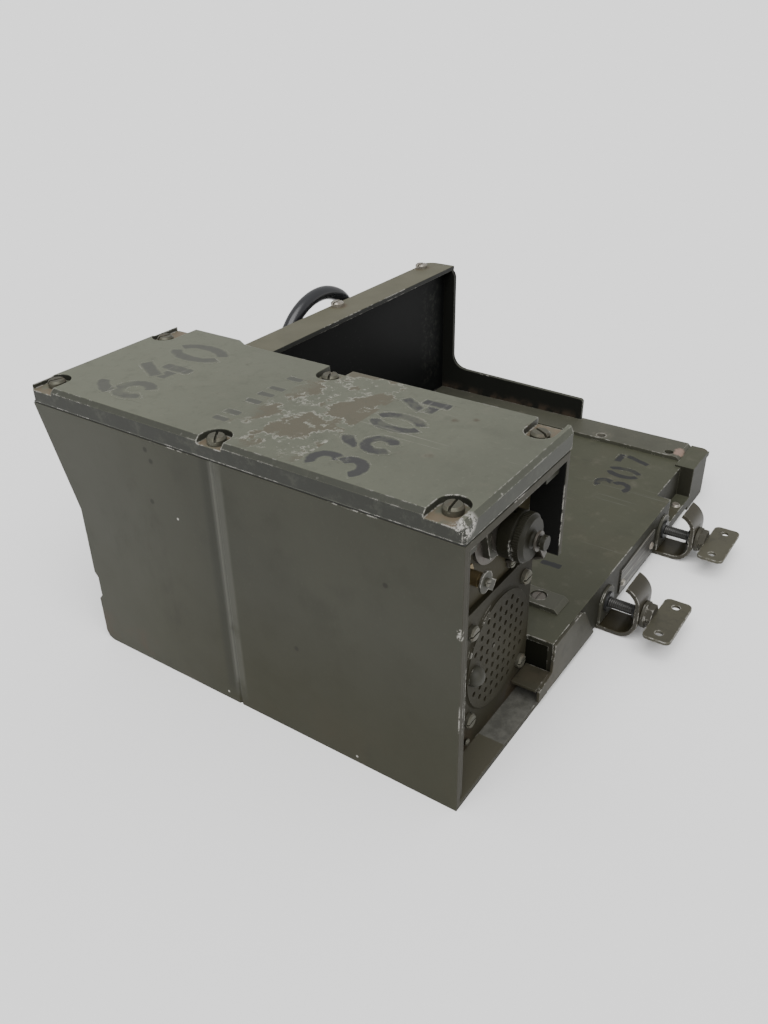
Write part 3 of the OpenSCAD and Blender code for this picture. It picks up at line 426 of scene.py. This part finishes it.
def lid_paint(name, cover=0.0, ink=INK):
    """The lid: paler olive, paler still towards the rear as a painted reflection, with its sides and
    front painted darker as shade; a band scraped to brown primer with whitish outlines, tan dust on
    the notches' floors, brown spots, small chips round its rim and a bare front corner.
    cover, where given, is how well stencil ink covers it."""
    colour = (0.088, 0.092, 0.068)
    primer_brown, outline_pale = (0.078, 0.068, 0.046), (0.27, 0.265, 0.225)
    crust_pale, fleck_pale = (0.33, 0.325, 0.28), (0.26, 0.25, 0.21)
    score_pale, score_dark = (0.22, 0.215, 0.18), (0.032, 0.031, 0.024)
    smudge_brown, spot_brown = (0.050, 0.045, 0.032), (0.052, 0.040, 0.026)
    notch_tan = (0.125, 0.095, 0.062)
    p = Paint(name)
    x, y, z = (p.bench(axis) for axis in (X, Y, Z))
    skin, rough, relief = olive_coat(p, colour, mottle=0.12, grime=0, dust=0.3)
    # painted reflection: paler towards the rear
    skin = p.over(skin, tone(colour, 1.3), p.ramp(y, 60, 260), 0.6)
    # painted shade: the lid's sides and chamfers darker than its top, its left side and front darker still
    skin = p.over(skin, tone(colour, 0.38), p.ramp(p.facing(Z), 0.93, 0.45), 0.9)
    skin = p.over(skin, tone(colour, 0.09), p.ramp(p.facing(X), -0.35, -0.8), 0.72)
    skin = p.over(skin, tone(colour, 0.10), p.ramp(p.facing(Y), -0.35, -0.8), 0.3)

    # the scraped band on the top, its limits ragged
    top = p.ramp(z, LID_TOP - 0.8, LID_TOP - 0.3)
    ragged = p.times(p.math("SUBTRACT", p.noise(60, 5, 0.65), 0.5), 50)
    band = p.times(top, p.ramp(y, 91.8, 92.4), p.ramp(p.math("ADD", y, ragged), 150, 140),
                   p.ramp(p.math("ADD", x, ragged), 6, 14))
    rubbed = p.noise(52, 7, 0.66)
    skin = p.over(skin, primer_brown, band, p.ramp(rubbed, 0.48, 0.52), 0.85)
    outline = p.times(p.inside(rubbed, 0.478, 0.492, 0.012), p.patches(120, 5, 0.42, 0.56, 0.7))
    skin = p.over(skin, outline_pale, band, outline, 0.75)
    crust = p.times(p.patches(160, 6, 0.56, 0.62, 0.78), p.patches(24, 3, 0.50, 0.60))
    skin = p.over(skin, crust_pale, band, crust, 0.8)

    # flecks, scratches, smudges and spots, and dust in the notches
    flecks = p.times(p.patches(260, 5, 0.68, 0.73, 0.78), p.patches(20, 3, 0.45, 0.6))
    skin = p.over(skin, fleck_pale, top, flecks, 0.6)
    skin = p.over(skin, score_pale, top, p.scratches((0, 0, 0.9), 13, 0.54), 0.5)
    skin = p.over(skin, score_dark, top, p.scratches((0, 0, -0.5), 17, 0.56), 0.5)
    skin = p.over(skin, tone(colour, 0.68), p.patches(120, 6, 0.50, 0.66, 0.75), 0.32)
    skin = p.over(skin, smudge_brown, top, p.patches(75, 6, 0.64, 0.70, 0.72), 0.5)
    spots = p.near([(x0, y0, LID_TOP) for x0, y0 in ((82, 53), (88, 44), (43, 44), (97, 20))],
                   radius=0.6, soft=2.4)
    skin = p.over(skin, spot_brown, spots, p.patches(150, 4, 0.35, 0.55), 0.75)
    notch = p.times(p.ramp(z, LID_TOP - 3, LID_TOP - 3.5), p.ramp(p.facing(Z), 0.6, 0.9))
    skin = p.over(skin, notch_tan, notch, p.patches(120, 4, 0.3, 0.55), 0.8)
    if cover:
        skin = inked(p, skin, cover, ink)

    knocks = p.near([(0, 0, 164), (0, 253, 165), (0, 160, 165.6), (0, 76, 165.6), (32, 0, 165),
                     (71, 0, 165), (112, 8, 165)], radius=0.1, soft=1.3)
    corner = p.near([(2.5, 1.5, 165)], radius=5.0, soft=3.5)
    loose = p.most(p.times(knocks, p.patches(420, 6, 0.47, 0.52, 0.8)),
                   p.times(corner, p.patches(210, 6, 0.48, 0.53, 0.78)))
    skin, rough, metal = wear(p, skin, rough, colour, rim=0.42, coarse=38, low=0.46, fine=240,
                              loose=loose)
    return p.finish(skin, rough, metal, relief,
                    height=0.0003, radius=0 if cover else 0.0009, strength=0.4)


def deck_paint(name, cover=0.0):
    """The tray: dark olive deck with faint scratches and brown dirt gathered along the walls, whose
    upright faces are painted nearly black as shade. cover, where given, is how well stencil ink
    covers it."""
    colour = (0.0425, 0.0440, 0.0288)
    dirt_brown, wall_shade_black = (0.075, 0.058, 0.040), (0.0135, 0.0128, 0.0080)
    score_pale, score_dark = (0.11, 0.11, 0.095), (0.014, 0.014, 0.012)
    p = Paint(name)
    x, y = p.bench(X), p.bench(Y)
    skin, rough, relief = olive_coat(p, colour, mottle=0.14, grime=0.5, dust=0.3)
    up = p.ramp(p.facing(Z), 0.7, 0.9)
    foot = p.most(p.ramp(y, 214, 228), p.ramp(x, 376, 383), p.ramp(x, 109, 104))
    skin = p.over(skin, dirt_brown, up, foot, p.patches(75, 5, 0.38, 0.6), 0.6)
    skin = p.over(skin, score_pale, up, p.scratches((0, 0, 1.2), 12, 0.56), 0.5)
    skin = p.over(skin, score_dark, p.scratches((0, 0, -0.2), 15, 0.58), 0.6)
    # painted shade: upright faces near-black
    skin = p.over(skin, wall_shade_black, p.ramp(p.math("ABSOLUTE", p.facing(Z)), 0.7, 0.3), 0.85)
    if cover:
        skin = inked(p, skin, cover, INK)
    skin, rough, metal = wear(p, skin, rough, colour, rim=0.4, coarse=30, low=0.50)
    return p.finish(skin, rough, metal, relief,
                    height=0.0002, radius=0 if cover else 0.0008, strength=0.35, specular=0.25)


def guard_paint():
    """The guard: inner faces near-black, partly their own dark paint and partly painted shade, brown
    dirt at their foot, a dust-covered top flange stained brown round its screws, and rubbed edges."""
    colour, inner_dark_and_shade = (0.040, 0.041, 0.031), (0.0072, 0.0076, 0.0062)
    pale_low, pale_high = (0.078, 0.075, 0.052), (0.118, 0.113, 0.079)
    stain_brown, dirt_brown = (0.070, 0.048, 0.028), (0.070, 0.050, 0.034)
    p = Paint("guard_paint")
    x, y, z = (p.bench(axis) for axis in (X, Y, Z))
    skin, rough, relief = olive_coat(p, colour, mottle=0.14, grime=0.3, dust=0)
    flange = p.times(p.ramp(p.facing(Z), 0.7, 0.9), p.ramp(z, 140, 143))
    skin = p.over(skin, p.mix(p.noise(60, 5), pale_low, pale_high), flange, 0.9)
    screws = p.near([(249.5, 251.5, FLANGE_TOP), (366, 251.5, FLANGE_TOP)], radius=5.5, soft=4)
    skin = p.over(skin, stain_brown, screws, p.patches(90, 4, 0.3, 0.6), 0.7)
    fence = p.times(p.ramp(p.facing(X), -0.5, -0.85), p.ramp(x, 366, 370))
    back = p.times(p.ramp(p.facing(Y), -0.5, -0.85), p.ramp(y, 150, 200))
    # the inner faces near-black: partly dark paint, partly painted shade
    skin = p.over(skin, inner_dark_and_shade, p.most(fence, back), 0.94)
    skin = p.over(skin, dirt_brown, fence, p.ramp(z, 44, 36), p.patches(80, 5, 0.4, 0.6), 0.6)
    skin, rough, metal = wear(p, skin, rough, colour, rim=0.55, coarse=30, low=0.50)
    return p.finish(skin, rough, metal, relief,
                    height=0.0002, radius=0.0008, strength=0.3, specular=0.2)


def panel_black():
    """The guard's inner panel: satin black with a dusty rubbed patch near its right end."""
    black_low, black_high = (0.0030, 0.0033, 0.0033), (0.0065, 0.0070, 0.0068)
    pale_patch, score_pale, rim_black = (0.036, 0.038, 0.031), (0.06, 0.06, 0.055), (0.02, 0.02, 0.02)
    p = Paint("panel_black")
    x, z = p.bench(X), p.bench(Z)
    cloud = p.noise(14, 5)
    skin = p.mix(cloud, black_low, black_high)
    rubbed = p.times(p.inside(x, 352, 370, 9), p.inside(z, 55, 125, 18))
    skin = p.over(skin, pale_patch, rubbed, p.patches(160, 7, 0.47, 0.66, 0.8), 0.5)
    skin = p.over(skin, score_pale, p.scratches((0, 0.3, 1.57), 12, 0.5), 0.5)
    rough = p.blend(cloud, 0.5, 0.65)
    skin, rough, metal = wear(p, skin, rough, rim_black, rim=0.5, coarse=30, low=0.5)
    return p.finish(skin, rough, metal, p.noise(300, 3),
                    height=0.0001, radius=0.0006, strength=0.25, specular=0.08)


def fitting_olive(name, colour, rim=0.5, coarse=45, low=0.42, grime=0.3, sheen=0.0, specular=0.4):
    """Olive paint on a small fitting: mottled, with rubbed rims; sheen lowers its roughness."""
    p = Paint(name)
    skin, rough, relief = olive_coat(p, colour, mottle=0.2, grime=grime, dust=0)
    skin = p.over(skin, tone(colour, 0.55), p.patches(150, 5, 0.52, 0.66, 0.7), 0.5)
    if sheen:
        rough = p.math("SUBTRACT", rough, sheen)
    skin, rough, metal = wear(p, skin, rough, colour, rim, coarse, low, fine=320)
    return p.finish(skin, rough, metal, relief,
                    height=0.0002, radius=0.0005, strength=0.35, specular=specular)


def rail_paint():
    """The bearing rails: grey-olive with a bare pinkish patch at the front, rubbed edges and a
    painted highlight as pale rims round the right rail's holes."""
    colour, bare_pink, hole_highlight_pale = (0.046, 0.046, 0.033), (0.24, 0.16, 0.125), (0.16, 0.15, 0.125)
    p = Paint("rail_paint")
    skin, rough, relief = olive_coat(p, colour, mottle=0.16, grime=0, dust=0.45)
    front = p.near([(364, 17, RAIL_TOP), (369, 17.5, RAIL_TOP)], radius=3.2, soft=2.2)
    skin = p.over(skin, bare_pink, front, p.patches(150, 4, 0.36, 0.5), 0.8)
    middle, sizes = to_bench(MOUNTS["rail_holes"]["pos_m"]), MOUNTS["rail_holes"]["dims"]
    apart = np.array([0, sizes["spacing_y_mm"] / 2, 0])
    holes = p.near([middle - apart, middle + apart], radius=sizes["hole_r_mm"] + 0.5, soft=0.9)
    # painted highlight: pale rims round the holes
    skin = p.over(skin, hole_highlight_pale, holes, p.patches(70, 2, 0.42, 0.55), 0.7)
    skin, rough, metal = wear(p, skin, rough, colour, rim=0.6, coarse=36, low=0.44)
    return p.finish(skin, rough, metal, relief,
                    height=0.0002, radius=0.0006, strength=0.35)


def speaker_paint():
    """The loudspeaker plate: brown-olive, with a painted shadow darkening it towards its upper right,
    grime low down and a painted grey reflection on its lower right corner."""
    colour = (0.028, 0.0255, 0.0155)
    reflection_grey, upper_shadow_dark = (0.045, 0.049, 0.053), (0.0105, 0.0092, 0.0050)
    p = Paint("speaker_paint")
    x, z = p.bench(X), p.bench(Z)
    skin, rough, relief = olive_coat(p, colour, mottle=0.2, grime=0.45, dust=0.3)
    corner = p.times(p.ramp(x, 62, 92), p.ramp(z, 22, 6))
    # painted reflection: grey on the lower right corner
    skin = p.over(skin, reflection_grey, corner, p.patches(60, 5, 0.36, 0.6), 0.6)
    # painted shadow: darker towards the upper right
    skin = p.over(skin, upper_shadow_dark, p.ramp(p.math("ADD", z, x), 120, 168), 0.85)
    skin, rough, metal = wear(p, skin, rough, colour, rim=0.12, coarse=60, low=0.60, fine=300)
    return p.finish(skin, rough, metal, relief,
                    height=0.0002, radius=0.0004, strength=0.35, specular=0.14)


def clamp_screw_paint():
    """A clamp's screw: black oxide, with brushed olive paint on its collar and flange."""
    colour, oxide_black = (0.034, 0.031, 0.021), (0.016, 0.016, 0.016)
    p = Paint("clamp_screw_paint")
    skin, rough, relief = olive_coat(p, colour, mottle=0.2, grime=0, dust=0)
    skin = p.mix(p.ramp(p.bench(Y), -24.6, -25.2), oxide_black, skin)
    skin, rough, metal = wear(p, skin, rough, colour, rim=0.5, coarse=60, low=0.55)
    return p.finish(skin, rough, metal, relief,
                    height=0.0001, radius=0.0003, strength=0.3, specular=0.4)


def dull_metal(name, colour, rust=0.3, rough=0.42, metal=0.9):
    """Worn plating: cloudy brightness, brown rust in patches, fine grain and brighter rims."""
    rust_brown = (0.060, 0.040, 0.025)
    p = Paint(name)
    skin = p.mix(p.noise(60, 5), tone(colour, 0.6), tone(colour, 1.35))
    rot = p.times(p.patches(144, 6, 0.48, 0.66, 0.7), rust)
    skin = p.mix(rot, skin, rust_brown)
    rim = p.ramp(p.lean(0.0008), 0.03, 0.2)
    skin = p.over(skin, tone(colour, 2.0), rim, p.patches(260, 4, 0.4, 0.55), 0.6)
    shine = p.times(p.math("SUBTRACT", 1.0, rot), metal)
    return p.finish(skin, p.blend(rot, rough, 0.8), shine, p.noise(720, 3),
                    height=0.0001, radius=0.0003, strength=0.3)


def plain(name, colour, rough=0.5, metal=0.0, grain=300, radius=0.0003, specular=0.4):
    """A moulded or coated finish with slight mottling and fine grain."""
    p = Paint(name)
    cloud = p.noise(40, 4)
    skin = p.mix(cloud, tone(colour, 0.72), tone(colour, 1.3))
    return p.finish(skin, p.blend(cloud, rough * 0.85, min(1, rough * 1.15)), metal, p.noise(grain, 3),
                    height=0.0001, radius=radius, strength=0.25, specular=specular)


def blank_plate_metal():
    """The blank plate: dark worn metal with fine brushed lines along its length."""
    line_dark, line_pale = (0.030, 0.029, 0.025), (0.15, 0.145, 0.125)
    stain, rim_pale = (0.030, 0.026, 0.020), (0.30, 0.29, 0.26)
    p = Paint("blank_plate_metal")
    lines = p.noise(900, 3, 0.6, (0.02, 1, 1))
    skin = p.mix(p.ramp(lines, 0.46, 0.62), line_dark, line_pale)
    skin = p.over(skin, stain, p.patches(60, 5, 0.46, 0.62), 0.6)
    skin = p.over(skin, rim_pale, p.ramp(p.lean(0.0006), 0.03, 0.2), 0.7)
    return p.finish(skin, rough=0.45, metal=0.4, relief=lines,
                    height=0.0001, radius=0.0003, strength=0.3)


def cable_cover():
    """The cable's rubber: black, slightly blue, satin, with fine grain and pale scuffs."""
    black_low, black_high = (0.0065, 0.007, 0.0085), (0.014, 0.015, 0.018)
    scuff_pale = (0.05, 0.05, 0.048)
    p = Paint("cable_cover")
    cloud = p.noise(60, 4)
    skin = p.mix(cloud, black_low, black_high)
    scuffs = p.times(p.patches(240, 5, 0.60, 0.68, 0.7), p.patches(30, 2, 0.5, 0.6))
    skin = p.over(skin, scuff_pale, scuffs, 0.5)
    return p.finish(skin, p.blend(cloud, 0.22, 0.36), 0.0, p.noise(500, 3),
                    height=0.0001, radius=0, strength=0.3, specular=0.6)


# the finish of each of the record's material slots
FINISHES = {
    "olive_paint": fitting_olive("panel_olive", (0.034, 0.033, 0.0225)),
    "olive_lid": lid_paint("lid_paint"),
    "black_paint": panel_black(),
    "gasket": plain("gasket_rubber", (0.02, 0.02, 0.018), rough=0.7),
    "dark_steel": dull_metal("dark_steel", (0.10, 0.092, 0.080), rust=0.5, rough=0.45, metal=0.6),
    "bright_steel": dull_metal("bright_steel", (0.30, 0.28, 0.24), rust=0.6, rough=0.38, metal=0.8),
    "plated_steel": dull_metal("plated_steel", (0.5, 0.49, 0.45), rust=0.15, rough=0.35),
    "black_steel": plain("black_steel", (0.016, 0.016, 0.016), rough=0.4, metal=0.2, specular=0.5),
    "magnet": plain("magnet_ferrite", (0.05, 0.05, 0.05), rough=0.6),
    "cone_paper": plain("cone_paper", (0.02, 0.018, 0.016), rough=0.9, grain=900),
    "black_plastic": plain("contact_block", (0.02, 0.02, 0.02)),
    "strap": dull_metal("strap_steel", (0.055, 0.050, 0.042), rust=0.5, metal=0.4),
    "brass": dull_metal("tarnished_brass", (0.20, 0.155, 0.080), rust=0.45, rough=0.38, metal=0.8),
    "core_steel": plain("core_varnish", (0.06, 0.06, 0.06), metal=0.3),
    "coil_wrap": plain("coil_wrap", (0.30, 0.17, 0.05)),
    "aluminium_can": dull_metal("plain_aluminium", (0.6, 0.6, 0.6), rust=0.05, rough=0.35),
    "board": plain("board_green", (0.02, 0.10, 0.035), rough=0.35),
    "plate_metal": blank_plate_metal(),
    "cable_rubber": cable_cover(),
}
# finishes of single pieces
panel_screw_steel = dull_metal("worn_screw_steel", (0.092, 0.089, 0.069), rust=0.6, metal=0.5)
hook_olive = fitting_olive("hook_paint", (0.021, 0.0175, 0.0080), rim=0.9, coarse=60, low=0.40,
                           grime=0, sheen=0.22, specular=0.45)
wing_olive = fitting_olive("wing_paint", (0.049, 0.0455, 0.029), rim=0.9, coarse=60, low=0.38,
                           grime=0, sheen=0.05)
clamp_screw_black = clamp_screw_paint()
thread_black = plain("thread_black", (0.030, 0.029, 0.026), rough=0.34, metal=0.3, radius=0.0002,
                     specular=0.55)
rail_olive = rail_paint()
OWN_FINISH = {
    "case_shell": case_paint(),
    "connector_panel": fitting_olive("panel_brown", (0.0290, 0.0250, 0.0120), rim=0.25, coarse=60,
                                     low=0.57, specular=0.15),
    "dust_cap": fitting_olive("cap_paint", (0.0116, 0.0109, 0.0060), rim=0.2, coarse=60, low=0.62,
                              grime=0, sheen=0.05, specular=0.22),
    "front_gusset": fitting_olive("gusset_olive", (0.0345, 0.0325, 0.0210), rim=0.3, coarse=40,
                                  low=0.52, specular=0.3),
    "guard_frame": guard_paint(),
    "lanyard_screw": panel_screw_steel,
    "left_hook": hook_olive,
    "left_rail": rail_olive,
    "left_screw": clamp_screw_black,
    "left_wing": wing_olive,
    "lever_screw": panel_screw_steel,
    "lid_screws": dull_metal("lid_screw_steel", (0.080, 0.078, 0.058), rust=0.5, rough=0.45,
                             metal=0.5),
    "plate_screws": panel_screw_steel,
    "right_hook": hook_olive,
    "right_rail": rail_olive,
    "right_screw": clamp_screw_black,
    "right_wing": wing_olive,
    "speaker_plate": speaker_paint(),
    "tray_pan": deck_paint("deck_paint"),
}
for node_name, obj in NODES.items():
    obj.data.materials.clear()
    obj.data.materials.append(OWN_FINISH.get(node_name) or FINISHES[SLOT_OF[node_name]])


# ---------------------------------------------------------------- surfaces

def put(name, points, face_sets, mat, body, slot, node=None, ink=None):
    """A mesh object from bench points in mm and lists of faces, smooth unless it carries ink.
    Its signed volume, a sixth of the sum of a . (b x c) over fanned triangles, turns the
    faces outwards."""
    points = row(points)
    volume = 0.0
    for faces in face_sets:
        for k in range(1, faces.shape[1] - 1):
            a, b, c = points[faces[:, 0]], points[faces[:, k]], points[faces[:, k + 1]]
            volume += np.einsum("ij,ij->", a, np.cross(b, c))
    turned = [f if volume > 0 else f[:, ::-1] for f in face_sets]
    mesh = bpy.data.meshes.new(name)
    mesh.from_pydata(points.tolist(), [], [face for f in turned for face in f.tolist()])
    mesh.update()
    mesh.shade_smooth()
    if ink is not None:
        mesh.attributes.new("ink", "FLOAT", "POINT").data.foreach_set("value", ink.astype(np.float32))
        mesh.shade_flat()
    mesh.materials.append(mat)
    obj = add_object(name, mesh)
    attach(obj, body)
    if node:
        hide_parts(node)
    return obj


def grid_faces(rows, cols, wrap_rows=False):
    """Quads of a rows x cols grid whose last column joins its first; with wrap_rows its last
    row joins its first too."""
    r, c = np.meshgrid(np.arange(rows if wrap_rows else rows - 1), np.arange(cols), indexing="ij")
    r1, c1 = (r + 1) % rows, (c + 1) % cols
    return np.stack([r * cols + c, r * cols + c1, r1 * cols + c1, r1 * cols + c], -1).reshape(-1, 4)


def closed_run(points):
    """Faces of rings stacked as (rows, around, 3), closed by a flat face at each end."""
    rows, around = points.shape[:2]
    ends = np.stack([np.arange(around)[::-1], np.arange(around) + (rows - 1) * around])
    return points.reshape(-1, 3), [grid_faces(rows, around), ends]


def full_turn(count):
    """Angles at even steps round a circle."""
    return np.linspace(0, 2 * np.pi, count, endpoint=False)


def run_length(points):
    """The length from the first point to each, along the points."""
    return np.concatenate([[0], np.cumsum(np.linalg.norm(np.diff(points, axis=0), axis=1))])


def smooth_path(points, step):
    """Catmull-Rom through the points: between b and c, with a before and d after,
    (2b + (c - a) t + (2a - 5b + 4c - d) t^2 + (3b - a - 3c + d) t^3) / 2, resampled evenly."""
    p = np.asarray(points, dtype=float)
    q = np.vstack([2 * p[0] - p[1], p, 2 * p[-1] - p[-2]])
    t = np.linspace(0, 1, 24, endpoint=False)[None, :, None]
    a, b, c, d = (q[k:len(q) - 3 + k, None, :] for k in range(4))
    s = 0.5 * (2 * b + (c - a) * t + (2 * a - 5 * b + 4 * c - d) * t ** 2
               + (3 * b - a - 3 * c + d) * t ** 3)
    s = np.vstack([s.reshape(-1, p.shape[1]), p[-1]])
    run = run_length(s)
    u = np.linspace(0, run[-1], max(2, int(run[-1] / step) + 1))
    return np.stack([np.interp(u, run, s[:, k]) for k in range(p.shape[1])], 1)


# the cable's route, as in the model's source
CABLE_ROUTE = [
    [52, 258, 60], [52, 262, 60], [55, 266, 60.5], [61, 268.5, 61], [70, 269, 62], [85, 269, 64],
    [100, 269, 66], [115, 269, 68], [130, 269, 71], [145, 269, 75], [158, 269, 80], [170, 269, 86],
    [180, 269, 94], [189, 269, 103], [197, 269, 112.5], [204.5, 269, 122.5], [212, 269, 132],
    [221, 269, 140.5], [232, 269, 146.5], [244, 269, 149.5], [256, 269, 149.5], [267, 269, 146.5],
    [277, 269, 141], [284, 269, 133], [288.5, 269, 123.5], [290, 269, 114], [290, 269, 108],
]
CABLE_RADIUS = 5.15


def make_cable():
    """A round tube along the route: centre + radius (side cos a + up sin a), rings square to it."""
    path = smooth_path(CABLE_ROUTE, step=2.0)
    along = np.gradient(path, axis=0)
    along /= np.linalg.norm(along, axis=1)[:, None]
    side = np.cross(along, np.array([0.05, 1, 0.03]))
    side /= np.linalg.norm(side, axis=1)[:, None]
    up = np.cross(side, along)
    a = full_turn(32)[None, :, None]
    rings = path[:, None] + CABLE_RADIUS * (side[:, None] * np.cos(a) + up[:, None] * np.sin(a))
    cable = put("cable_tube", *closed_run(rings), FINISHES["cable_rubber"], "base", "cable_rubber",
                node="cable")
    path = row(path)


def make_thread(side):
    """A screw thread round a clamp's rod: on a grid of length y and angle a the radius is
    root + depth |2 frac(y / lead - a / 2 pi) - 1|, faded out at each end and closed by a
    sleeve inside the rod."""
    root_radius, depth, lead, sleeve_radius = 3.19, 0.22, 1.27, 2.9
    behind_hook, length, step, fade_length = 3.0, 36.6, 0.15, 0.8
    axis_x, hook_y, axis_z = to_bench(JOINTS[side + "_clamp_turn"]["pos_m"])
    y = hook_y + behind_hook + np.arange(0, length, step)
    a = full_turn(40)
    saw = np.abs(2 * ((y[:, None] / lead - a[None, :] / (2 * np.pi)) % 1.0) - 1)
    fade = np.clip(np.minimum(y - y[0], y[-1] - y) / fade_length, 0, 1)[:, None]
    sleeve = a * 0 + sleeve_radius
    r = np.vstack([sleeve, root_radius + depth * saw * fade, sleeve])
    y = np.concatenate([y[:1], y, y[-1:]])
    points = np.stack([axis_x + r * np.cos(a), np.broadcast_to(y[:, None], r.shape),
                       axis_z + r * np.sin(a)], -1)
    put(side + "_thread", points.reshape(-1, 3), [grid_faces(*r.shape, wrap_rows=True)], thread_black,
        side + "_clamp_screw", "black_steel")


def make_web():
    """The web that closes the tray's front left corner, painted near-black as the shade in that
    corner: its outline, a box with rounded corners (corner centre + radius (cos a, sin a)), drawn
    out across its thickness."""
    front, back, foot, head, radius, count = 2.2, 19.4, 5.0, 31.3, 2.0, 24
    left, thickness = lowest("tray_pan")[X] + 2.6, 1.6
    a = full_turn(count) + np.pi / count
    y = np.where(np.cos(a) > 0, back - radius, front + radius) + radius * np.cos(a)
    z = np.where(np.sin(a) > 0, head - radius, foot + radius) + radius * np.sin(a)
    rings = np.stack([np.column_stack([np.full(count, x), y, z]) for x in (left, left + thickness)])
    # painted shade: the web is near-black
    web_shade_black = plain("web_shade_black", (0.0065, 0.0065, 0.0042), rough=0.8, specular=0.05)
    web = put("front_web", *closed_run(rings), web_shade_black, "base", "olive_paint")
    web.data.shade_flat()


def make_rivet():
    """A small domed rivet low on the loudspeaker plate's left: rings of radius R cos t at
    height H sin t before the plate, closed behind."""
    x, plate_y, z = lowest("speaker_plate") + (28.2, 0, 6.7)
    head_radius, dome_height, sunk = 2.1, 1.1, 0.3
    t = np.radians([0, 0, 20, 40, 60, 78, 89])
    r, out = head_radius * np.cos(t), dome_height * np.sin(t)
    out[0] = -sunk
    a = full_turn(32)
    r, out = r[:, None], np.broadcast_to(out[:, None], (len(t), len(a)))
    rings = np.stack([x + r * np.cos(a), plate_y - out, z + r * np.sin(a)], -1)
    put("plate_rivet", *closed_run(rings), panel_screw_steel, "base", "bright_steel")


# ---------------------------------------------------------------- stencilled figures

def bow(cx, cy, rx, ry, start, end):
    """Points round an ellipse between two angles in degrees."""
    a = np.radians(np.linspace(start, end, 19))
    return np.stack([cx + rx * np.cos(a), cy + ry * np.sin(a)], 1)


def bar(*ends):
    """Points along straight legs."""
    ends = np.array(ends, dtype=float)
    t = np.linspace(0, len(ends) - 1, 12 * (len(ends) - 1) + 1)
    return np.stack([np.interp(t, np.arange(len(ends)), ends[:, k]) for k in range(2)], 1)


# figures on a cell one wide and one high, their strokes broken as a stencil's are
FIGURES = {
    "0": [bow(0.5, 0.5, 0.36, 0.44, 100, 260), bow(0.5, 0.5, 0.36, 0.44, -80, 80)],
    "3": [bow(0.45, 0.73, 0.33, 0.22, 150, -70), bow(0.45, 0.27, 0.36, 0.23, 70, -150)],
    "4": [bar((0.60, 0.97), (0.12, 0.38)), bar((0.06, 0.30), (0.94, 0.30)),
          bar((0.68, 0.62), (0.68, 0.02))],
    "6": [bow(0.5, 0.28, 0.33, 0.25, -70, 250), bow(0.66, 0.42, 0.50, 0.53, 98, 166)],
    "7": [bar((0.08, 0.95), (0.92, 0.95)), bar((0.86, 0.84), (0.42, 0.02))],
    "-": [bar((0.5, 0.0), (0.5, 1.0))],
}


def make_marking(name, figures, mat, slot, height, wide, stroke):
    """Painted strokes as thin ribbons lying flat. figures holds (figure, corner); a stroke's
    points are corner + (x wide, y height), its edges lie half a stroke to either side, its top
    stands 0.03 mm or more proud, each a little above the last, and ink falls from 1 at the
    middle to 0 at the rims and ends."""
    share = np.array([-1, -0.75, -0.4, 0, 0.4, 0.75, 1, 1, -1])  # seven points on top, two below
    fade_length = 1.2
    points, faces, ends, ink, count = [], [], [], [], 0
    for figure, corner in figures:
        for line in FIGURES[figure]:
            flat = line * np.array([wide, height])
            proud, sunk = 0.03 + 0.012 * (len(ends) % 3), 0.02
            lift = np.array([proud] * 7 + [-sunk] * 2)
            run = run_length(flat)
            heading = np.gradient(flat, axis=0)
            heading /= np.linalg.norm(heading, axis=1)[:, None]
            aside = np.stack([-heading[:, 1], heading[:, 0]], 1)
            spot = flat[:, None] + aside[:, None] * share[None, :, None] * stroke / 2
            rise = np.broadcast_to(lift[None, :, None], (*spot.shape[:2], 1))
            ribbon = np.array(corner, dtype=float) + np.concatenate([spot, rise], -1)
            soft = np.clip(np.minimum(run, run[-1] - run) / fade_length, 0, 1)
            vertices, (sides, caps) = closed_run(ribbon)
            points.append(vertices)
            faces.append(sides + count)
            ends.append(caps + count)
            ink.append((soft[:, None] * (1 - np.abs(share) ** 2.5)[None, :]).ravel())
            count += len(vertices)
    put(name, np.vstack(points), [np.vstack(faces), np.vstack(ends)], mat, "base", slot,
        ink=np.concatenate(ink))


def make_markings():
    """Plain figures on the lid and the deck, and the row of dashes between them."""
    faded = lid_paint("lid_ink_faded", cover=0.52, ink=(0.028, 0.026, 0.031))
    bold = lid_paint("lid_ink", cover=0.80, ink=(0.020, 0.019, 0.024))
    deck_ink = deck_paint("deck_ink", cover=0.85)
    rear = [(f, (12 + 29 * k, 208, LID_TOP)) for k, f in enumerate("640")]
    dashes = [("-", (x, 148, LID_TOP)) for x in (19, 28, 44, 54, 63, 78)]
    front = [(f, (5 + 25 * k, 61, LID_TOP)) for k, f in enumerate("3604")]
    deck = [(f, (287 + 21.5 * k, 30, DECK_TOP)) for k, f in enumerate("307")]
    tick = [("-", (173, 28, DECK_TOP))]
    make_marking("rear_figures", rear, faded, "olive_lid", height=37, wide=25, stroke=9.5)
    make_marking("dashes", dashes, faded, "olive_lid", height=11, wide=6, stroke=6)
    make_marking("front_figures", front, bold, "olive_lid", height=29, wide=20, stroke=8)
    make_marking("deck_figures", deck, deck_ink, "olive_paint", height=25, wide=17, stroke=7)
    make_marking("deck_tick", tick, deck_ink, "olive_paint", height=15, wide=9, stroke=7.5)


make_cable()
for clamp_side in ("left", "right"):
    make_thread(clamp_side)
make_web()
make_rivet()
make_markings()
